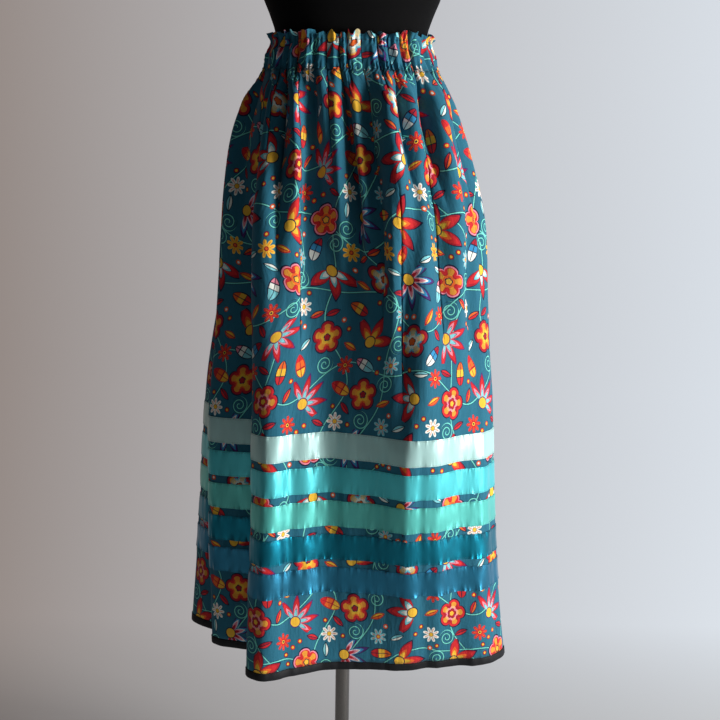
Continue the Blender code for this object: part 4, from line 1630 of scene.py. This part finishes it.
@dataclass
class Skirt:
    """The sewn skirt: casing, two panels, five ribbons and hem binding."""

    drape: Drape = field(default_factory=Drape)
    seam: float = 0.0004
    hem_binding: float = 0.012
    panel_columns: int = 390
    ring_columns: int = 900
    hips_drop: float = 0.16
    ribbons_drop: float = 0.54
    cotton: float = 0.0006  # thickness
    ribbon_base: float = 0.00065  # lift of a ribbon's underside over the cloth's middle layer
    ribbon_thickness: float = 0.0004
    ribbon_puff: float = 0.0005
    casing_rows: int = 20
    casing_inner_rows: int = 12
    stitch_pitch: float = 0.0042
    stitch_length: float = 0.0029
    stitch_inset: float = 0.0018
    thread: float = 0.0005

    def panel_drops(self) -> np.ndarray:
        """Lists a panel's rows, closer together under the casing and along the sewn ribbons.

        Returns:
            The rows' drops in metres.
        """
        upper = np.linspace(self.drape.casing + self.seam, self.hips_drop, 24)
        middle = np.linspace(self.hips_drop, self.ribbons_drop, 36)[1:]
        lower = np.linspace(self.ribbons_drop, self.drape.length - self.hem_binding - self.seam, 66)[1:]
        return np.concatenate([upper, middle, lower])

    def panel(self, name: str, start: float, material: Material) -> Piece:
        """Builds the front or the back panel, which starts at a length round the skirt.

        Args:
            name: Name of the piece.
            start: Length round the skirt where it starts.
            material: Finish of the piece.

        Returns:
            The panel.
        """
        half, drops = self.drape.flat_round / 2, self.panel_drops()
        lengths = np.linspace(start + self.seam / 2, start + half - self.seam / 2, self.panel_columns + 1)
        points = self.drape.points(lengths, drops, np.full(len(drops), self.cotton / 2))
        return ClothGrid(name, lengths, drops, thickness=self.cotton).build(points, material)

    def ring(self, name: str, drops: np.ndarray, lifts: np.ndarray, material: Material) -> Piece:
        """Builds a band all round the skirt from its rows' drops and lifts.

        Args:
            name: Name of the piece.
            drops: Drops of the rows in metres.
            lifts: Lift of each row over the cloth's middle layer.
            material: Finish of the piece.

        Returns:
            The band.
        """
        lengths = np.linspace(0, self.drape.flat_round, self.ring_columns + 1)
        points = self.drape.points(lengths, drops, lifts)
        points[:, -1] = points[:, 0]
        return ClothGrid(name, lengths, drops, ring=True).build(points, material)

    def casing(self, material: Material) -> Piece:
        """Builds the casing with its ruffled header, folded over at the top.

        Args:
            material: Finish of the piece.

        Returns:
            The casing.
        """
        low, near_top = self.drape.casing, 0.0008
        outside, inside = 0.0004, -0.0005
        outer = np.linspace(low, near_top, self.casing_rows)
        inner = np.linspace(near_top, low, self.casing_inner_rows)
        drops = np.concatenate([outer, [0.0002, 0.0, 0.0002], inner, [low]])
        lifts = np.concatenate(
            [np.full(len(outer), outside), [0.0003, 0.0, -0.0003], np.full(len(inner), inside), [outside]]
        )
        return self.ring("casing_cloth", drops, lifts, material)

    def ribbon(self, number: int, edges: tuple[float, float], material: Material) -> Piece:
        """Builds one ribbon as a flat closed band between its edges.

        Args:
            number: Number from the uppermost, from 1.
            edges: Drops of its top and bottom edge.
            material: Finish of the piece.

        Returns:
            The ribbon.
        """
        top, low = edges
        under, over = self.ribbon_base, self.ribbon_base + self.ribbon_thickness
        out = np.linspace(top, low, 12)
        puff = self.ribbon_puff * np.sin(math.pi * (out - top) / (low - top)) ** 0.5
        drops = np.concatenate([out, [low, top, top]])
        lifts = np.concatenate([over + puff, [under, under, over]])
        return self.ring(f"satin_ribbon_{number}", drops, lifts, material)

    def binding(self, material: Material) -> Piece:
        """Builds the tape folded round the hem.

        Args:
            material: Finish of the piece.

        Returns:
            The tape.
        """
        top, low = self.drape.length - self.hem_binding, self.drape.length
        drops = np.array([top, top + 0.0008, (top + low) / 2, low - 0.0012, low - 0.0003, low])
        lifts = np.array([0.0009, 0.0013, 0.0014, 0.0013, 0.0008, 0.0])
        drops = np.concatenate([drops, drops[-2::-1], [top]])
        lifts = np.concatenate([lifts, -lifts[-2::-1], [0.0009]])
        return self.ring("hem_tape", drops, lifts, material)

    def stitches(self, name: str, rows: Sequence[tuple[float, float]], colour: Colour) -> Piece:
        """Sews rows of small stitches round the skirt.

        Args:
            name: Name of the joined piece.
            rows: The drop of each row and its lift over the cloth's middle layer.
            colour: Thread colour.

        Returns:
            The joined stitches.
        """
        count = round(self.drape.flat_round / self.stitch_pitch)
        starts = np.arange(count) * self.stitch_pitch
        lengths = np.sort(np.concatenate([starts, starts + self.stitch_length]))
        drops, lifts = (np.array(v) for v in zip(*rows))
        ends = self.drape.points(lengths, drops, lifts).reshape(len(rows), count, 2, 3).reshape(-1, 2, 3)
        bm = bmesh.new()
        for first, last in ends:
            along = Vector(last - first)
            side = along.normalized()
            out = side.cross(Vector((0, 0, -1))).normalized()
            turn = Matrix((along, self.thread * out.cross(side), self.thread * out)).transposed().to_4x4()
            place = Matrix.Translation(Vector((first + last) / 2)) @ turn
            bmesh.ops.create_cube(bm, size=1.0, matrix=place)
        bmesh.ops.recalc_face_normals(bm, faces=bm.faces)
        return new_object(name, mesh_of(name, bm), PlainFinish(f"{name}_thread", colour, 0.5).material())

    def build(self) -> list[Piece]:
        """Builds every sewn piece and lists the pieces.

        Returns:
            The pieces.
        """
        print_cotton = FloralPrint().material()
        half, length = self.drape.flat_round / 2, self.drape.length
        casing = self.casing(print_cotton)
        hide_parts("waist_casing")
        tape = self.binding(PlainFinish("bias_tape", (0.006, 0.007, 0.010), 0.65, specular=0.3).material())
        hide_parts("hem_binding")
        ribbons = []
        for number, (edges, look) in enumerate(zip(ribbon_edges(), RIBBON_LOOKS), start=1):
            satin = Satin(f"satin_{number}", look.tint, look.metallic, look.pucker_depth)
            made = self.ribbon(number, edges, satin.material())
            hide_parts(f"ribbon_{number}")
            top, low = edges
            rows = [(top + self.stitch_inset, 0.0012), (low - self.stitch_inset, 0.0012)]
            sewn = self.stitches(f"ribbon_stitches_{number}", rows, tuple(0.7 * v for v in look.tint))
            ribbons.append((made, sewn))
        panels = []
        for name, node, start in (("front_cloth", "front_panel", 0.0), ("back_cloth", "back_panel", half)):
            made = self.panel(name, start, print_cotton)
            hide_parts(node)
            panels.append(made)
        for made in panels:
            flat = (half, length - self.drape.casing - self.hem_binding)
        rows = [(self.drape.header, 0.0006), (self.drape.casing - 0.0015, 0.0006)]
        casing_sewn = self.stitches("casing_stitches", rows, screen(20, 70, 88))
        flat = (2 * half, self.drape.casing)
        rows = [(length - self.hem_binding + 0.0015, 0.0013)]
        hem_sewn = self.stitches("hem_stitches", rows, screen(14, 14, 18))
        flat = (2 * half, self.hem_binding)
        for made, sewn in ribbons:
            flat = (2 * half, RIBBON_WIDTH)
        sewn_ribbons = [piece for pair in ribbons for piece in pair]
        return [casing, casing_sewn, *panels, *sewn_ribbons, tape, hem_sewn]


@dataclass
class DressForm:
    """The limbless torso form with its neck cap, pole and round foot."""

    torso: Torso = field(default_factory=Torso)
    waist_height: float = WAIST_HEIGHT
    facets: int = 144
    rows: int = 120
    gap: float = 0.0004  # between neighbouring pieces
    cap_radius: float = 0.056
    cap_height: float = 0.012
    flange_radius: float = 0.034
    socket_radius: float = 0.0204
    socket_height: float = 0.022
    pole_radius: float = 0.011
    collar_radius: float = 0.021
    collar_height: float = 0.042
    foot_radius: float = 0.190
    foot_height: float = 0.014

    def body(self, material: Material) -> Piece:
        """Builds the torso as a smooth closed loft.

        Args:
            material: Finish of the piece.

        Returns:
            The torso.
        """
        low, high = self.torso.sections[0].height, self.torso.sections[-1].height
        bm = bmesh.new()
        bmesh.ops.create_grid(bm, x_segments=self.facets, y_segments=self.rows, size=1.0)
        flat = np.array([tuple(v.co) for v in bm.verts])
        bearing = (flat[:, 0] + 1) / 2 * TAU
        height = low + (high - low) * (flat[:, 1] + 1) / 2
        radius = self.torso.radius(bearing, height)
        for vert, turn, reach, up in zip(bm.verts, bearing, radius, height):
            vert.co = (reach * math.sin(turn), -reach * math.cos(turn), self.waist_height + up)
        bmesh.ops.remove_doubles(bm, verts=bm.verts, dist=WELD)
        bmesh.ops.holes_fill(bm, edges=bm.edges, sides=0)
        return new_object("torso_jersey", closed_mesh("torso_jersey", bm), material)

    @staticmethod
    def filleted(profile: Profile, radius: float) -> list[tuple[float, float]]:
        """Rounds the corners between a profile's ends with short curves.

        Args:
            profile: Points as (radius, height).
            radius: Reach of a curve from its corner.

        Returns:
            The rounded profile.
        """
        points = [profile[0]]
        for before, at, after in zip(profile, profile[1:], profile[2:]):
            corner = np.array(at)
            ends = []
            for other in (before, after):
                way = np.array(other) - corner
                length = float(np.hypot(*way))
                ends.append(corner + way / length * min(radius, length * 0.45))
            for t in np.linspace(0, 1, 5):
                point = (1 - t) ** 2 * ends[0] + 2 * t * (1 - t) * corner + t * t * ends[1]
                points.append((float(point[0]), float(point[1])))
        points.append(profile[-1])
        return points

    def turned(self, name: str, profile: Profile, fillet: float, material: Material) -> Piece:
        """Spins a profile of (radius, height) points round the upright axis.

        Args:
            name: Name of the piece.
            profile: Points from one end to the other.
            fillet: Reach of the rounding at its corners.
            material: Finish of the piece.

        Returns:
            The turned piece.
        """
        bm = bmesh.new()
        verts = [bm.verts.new((radius, 0.0, height)) for radius, height in self.filleted(profile, fillet)]
        edges = [bm.edges.new(ends) for ends in zip(verts, verts[1:])]
        bmesh.ops.spin(
            bm, geom=verts + edges, cent=(0, 0, 0), axis=(0, 0, 1), angle=TAU, steps=96, use_merge=True
        )
        bmesh.ops.remove_doubles(bm, verts=bm.verts, dist=WELD)
        return new_object(name, closed_mesh(name, bm), material)

    def profiles(self) -> tuple[tuple[str, str, float, Profile], ...]:
        """Lists the turned pieces: name, CAD node, fillet and profile of each, from the neck down.

        Returns:
            A row for each piece.
        """
        neck = self.waist_height + self.torso.sections[-1].height + self.gap
        cap_top, cap = neck + self.cap_height, self.cap_radius
        hips = self.waist_height + self.torso.sections[0].height - self.gap
        socket_low, flange, socket = hips - self.socket_height, self.flange_radius, self.socket_radius
        pole_low, pole_high, pole = self.foot_height + self.gap, socket_low - self.gap, self.pole_radius
        collar_top, collar, bore = pole_low + self.collar_height, self.collar_radius, pole + self.gap
        foot, foot_top = self.foot_radius, self.foot_height
        return (
            ("neck_cap_disc", "neck_cap", 0.002,
             ((0, cap_top), (cap - 0.006, cap_top), (cap, cap_top - 0.005), (cap, neck), (0, neck))),
            ("pole_socket_turned", "pole_socket", 0.0012,
             ((0, hips), (flange, hips), (flange, hips - 0.006), (socket, hips - 0.009), (socket, socket_low),
              (0, socket_low))),
            ("pole_tube", "pole", 0.001,
             ((0, pole_high), (pole, pole_high), (pole, pole_low), (0, pole_low))),
            ("foot_collar_turned", "foot_collar", 0.0015,
             ((bore, collar_top), (collar - 0.003, collar_top), (collar, collar_top - 0.003),
              (collar, pole_low), (bore, pole_low), (bore, collar_top))),
            ("foot_plate", "foot", 0.0018,
             ((0, foot_top), (foot - 0.004, foot_top - 0.002), (foot, foot_top - 0.006), (foot, 0), (0, 0))),
        )

    def build(self) -> list[Piece]:
        """Builds the form and its stand, and lists the pieces.

        Returns:
            The pieces.
        """
        black = (0.0030, 0.0030, 0.0034)
        jersey = PlainFinish("form_jersey_knit", black, 0.92, grain=1400.0, specular=0.10).material()
        metal = PlainFinish("brushed_metal", screen(128, 126, 124), 0.3, 1.0).material()
        body = self.body(jersey)
        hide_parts("torso_form")
        pieces = [body]
        for name, node, fillet, profile in self.profiles():
            made = self.turned(name, profile, fillet, metal)
            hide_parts(node)
            pieces.append(made)
        return pieces


@dataclass(frozen=True)
class AreaLight:
    """A soft upright light that faces a point."""

    name: str
    place: Point
    size: tuple[float, float]  # across and upright
    power: float
    colour: Colour
    target: Point = (0.0, 0.0, 0.9)

    def build(self) -> None:
        """Adds the light."""
        data = bpy.data.lights.new(self.name, "AREA")
        data.shape = "RECTANGLE"
        data.size, data.size_y = self.size
        data.energy, data.color = self.power, self.colour
        lamp = bpy.data.objects.new(self.name, data)
        lamp.location = self.place
        facing = Vector(self.target) - Vector(self.place)
        lamp.rotation_euler = facing.to_track_quat("-Z", "Y").to_euler()
        bpy.context.scene.collection.objects.link(lamp)


@dataclass(frozen=True)
class Studio:
    """A pale floor that curves up into a backdrop, soft lights and the camera."""

    width: float = 16.0
    front: float = -5.0
    floor: float = 8.6
    bend: float = 1.4
    wall: float = 4.0
    air: Colour = (0.75, 0.8, 0.88)
    air_strength: float = 0.045
    lights: tuple[AreaLight, ...] = (
        AreaLight("window", (2.7, -1.2, 1.25), (0.8, 2.3), 132.0, (1.0, 0.985, 0.96)),
        AreaLight("fill", (-1.2, -3.2, 1.8), (2.0, 2.0), 1.8, (0.95, 0.97, 1.0)),
    )
    lens: float = 67.12
    camera_place: Point = (0.0199, -2.0, WAIST_HEIGHT - 0.119)
    looking_down: float = 10.14  # degrees
    roll: float = 0.0157  # radians

    def build(self) -> None:
        """Builds everything that isn't part of the object."""
        self.backdrop()
        for light in self.lights:
            light.build()
        world = bpy.data.worlds.new("studio")
        world.use_nodes = True
        background = world.node_tree.nodes["Background"]
        background.inputs[0].default_value = (*self.air, 1.0)
        background.inputs[1].default_value = self.air_strength
        bpy.context.scene.world = world
        self.camera()

    def backdrop(self) -> None:
        """Bends a strip of paper from the floor up into the wall."""
        arc = self.bend * math.pi / 2
        bm = bmesh.new()
        bmesh.ops.create_grid(bm, x_segments=2, y_segments=120, size=1.0)
        for vert in bm.verts:
            way = (vert.co.y + 1) / 2 * (self.floor + arc + self.wall)
            turn = min(max((way - self.floor) / self.bend, 0), math.pi / 2)
            rise = max(way - self.floor - arc, 0)
            y = self.front + min(way, self.floor) + self.bend * math.sin(turn)
            vert.co = (vert.co.x * self.width / 2, y, self.bend * (1 - math.cos(turn)) + rise)
        mesh = mesh_of("backdrop", bm)
        mesh.shade_smooth()
        mesh.materials.append(self.paper())
        made = bpy.data.objects.new("backdrop", mesh)
        bpy.context.scene.collection.objects.link(made)

    @staticmethod
    def paper() -> Material:
        """Builds plain paper that glows with painted light behind the object: dimmer and warmer on the left,
        brighter and cooler on the right, as if lit from the right.

        Returns:
            The material.
        """
        shade = Shade("backdrop_paper")
        across, back, _ = shade.split(shade.object_place())
        # painted light: the wall's glow runs from a dim warm left to a bright cool right, as if the window
        # light falls from the right
        side = shade.between(across / ((back + 2.2).math("MAXIMUM", 1.0)), -0.27, 0.29)
        painted_wall_light = shade.mix_colour(side, screen(142, 131, 126), screen(214, 221, 229))
        # the paper behind is darker, so that its painted glow rather than the lamps sets its brightness
        behind = shade.between(back, -0.1, 0.9)
        return shade.finish(
            Base_Color=shade.mix_colour(behind, screen(204, 202, 200), screen(84, 82, 80)),
            Roughness=0.95,
            Specular_IOR_Level=0.05,
            Emission_Color=shade.mix_colour(behind, (0.0, 0.0, 0.0), painted_wall_light),
            Emission_Strength=1.0,
        )

    def camera(self) -> None:
        """Adds the camera at the photograph's viewing angle."""
        data = bpy.data.cameras.new("camera")
        data.lens, data.sensor_width = self.lens, 36.0
        made = bpy.data.objects.new("camera", data)
        pitch = Matrix.Rotation(math.radians(90 - self.looking_down), 4, "X")
        roll = Matrix.Rotation(self.roll, 4, "Z")
        made.matrix_world = Matrix.Translation(self.camera_place) @ pitch @ roll
        bpy.context.scene.collection.objects.link(made)
        bpy.context.scene.camera = made
        bpy.context.scene.view_settings.view_transform = "Standard"


def main() -> None:
    """Builds the skirt, the form and the studio in order, and reports each piece."""
    logging.basicConfig(level=logging.INFO, format="%(name)s: %(message)s")
    for assembly in (Skirt(), DressForm()):
        for piece in assembly.build():
            log.info("%s: %d faces", piece.name, len(piece.data.polygons))
    studio = Studio()
    studio.build()
    log.info("studio: a backdrop, a camera and %d lights", len(studio.lights))


if __name__ == "__main__":
    main()
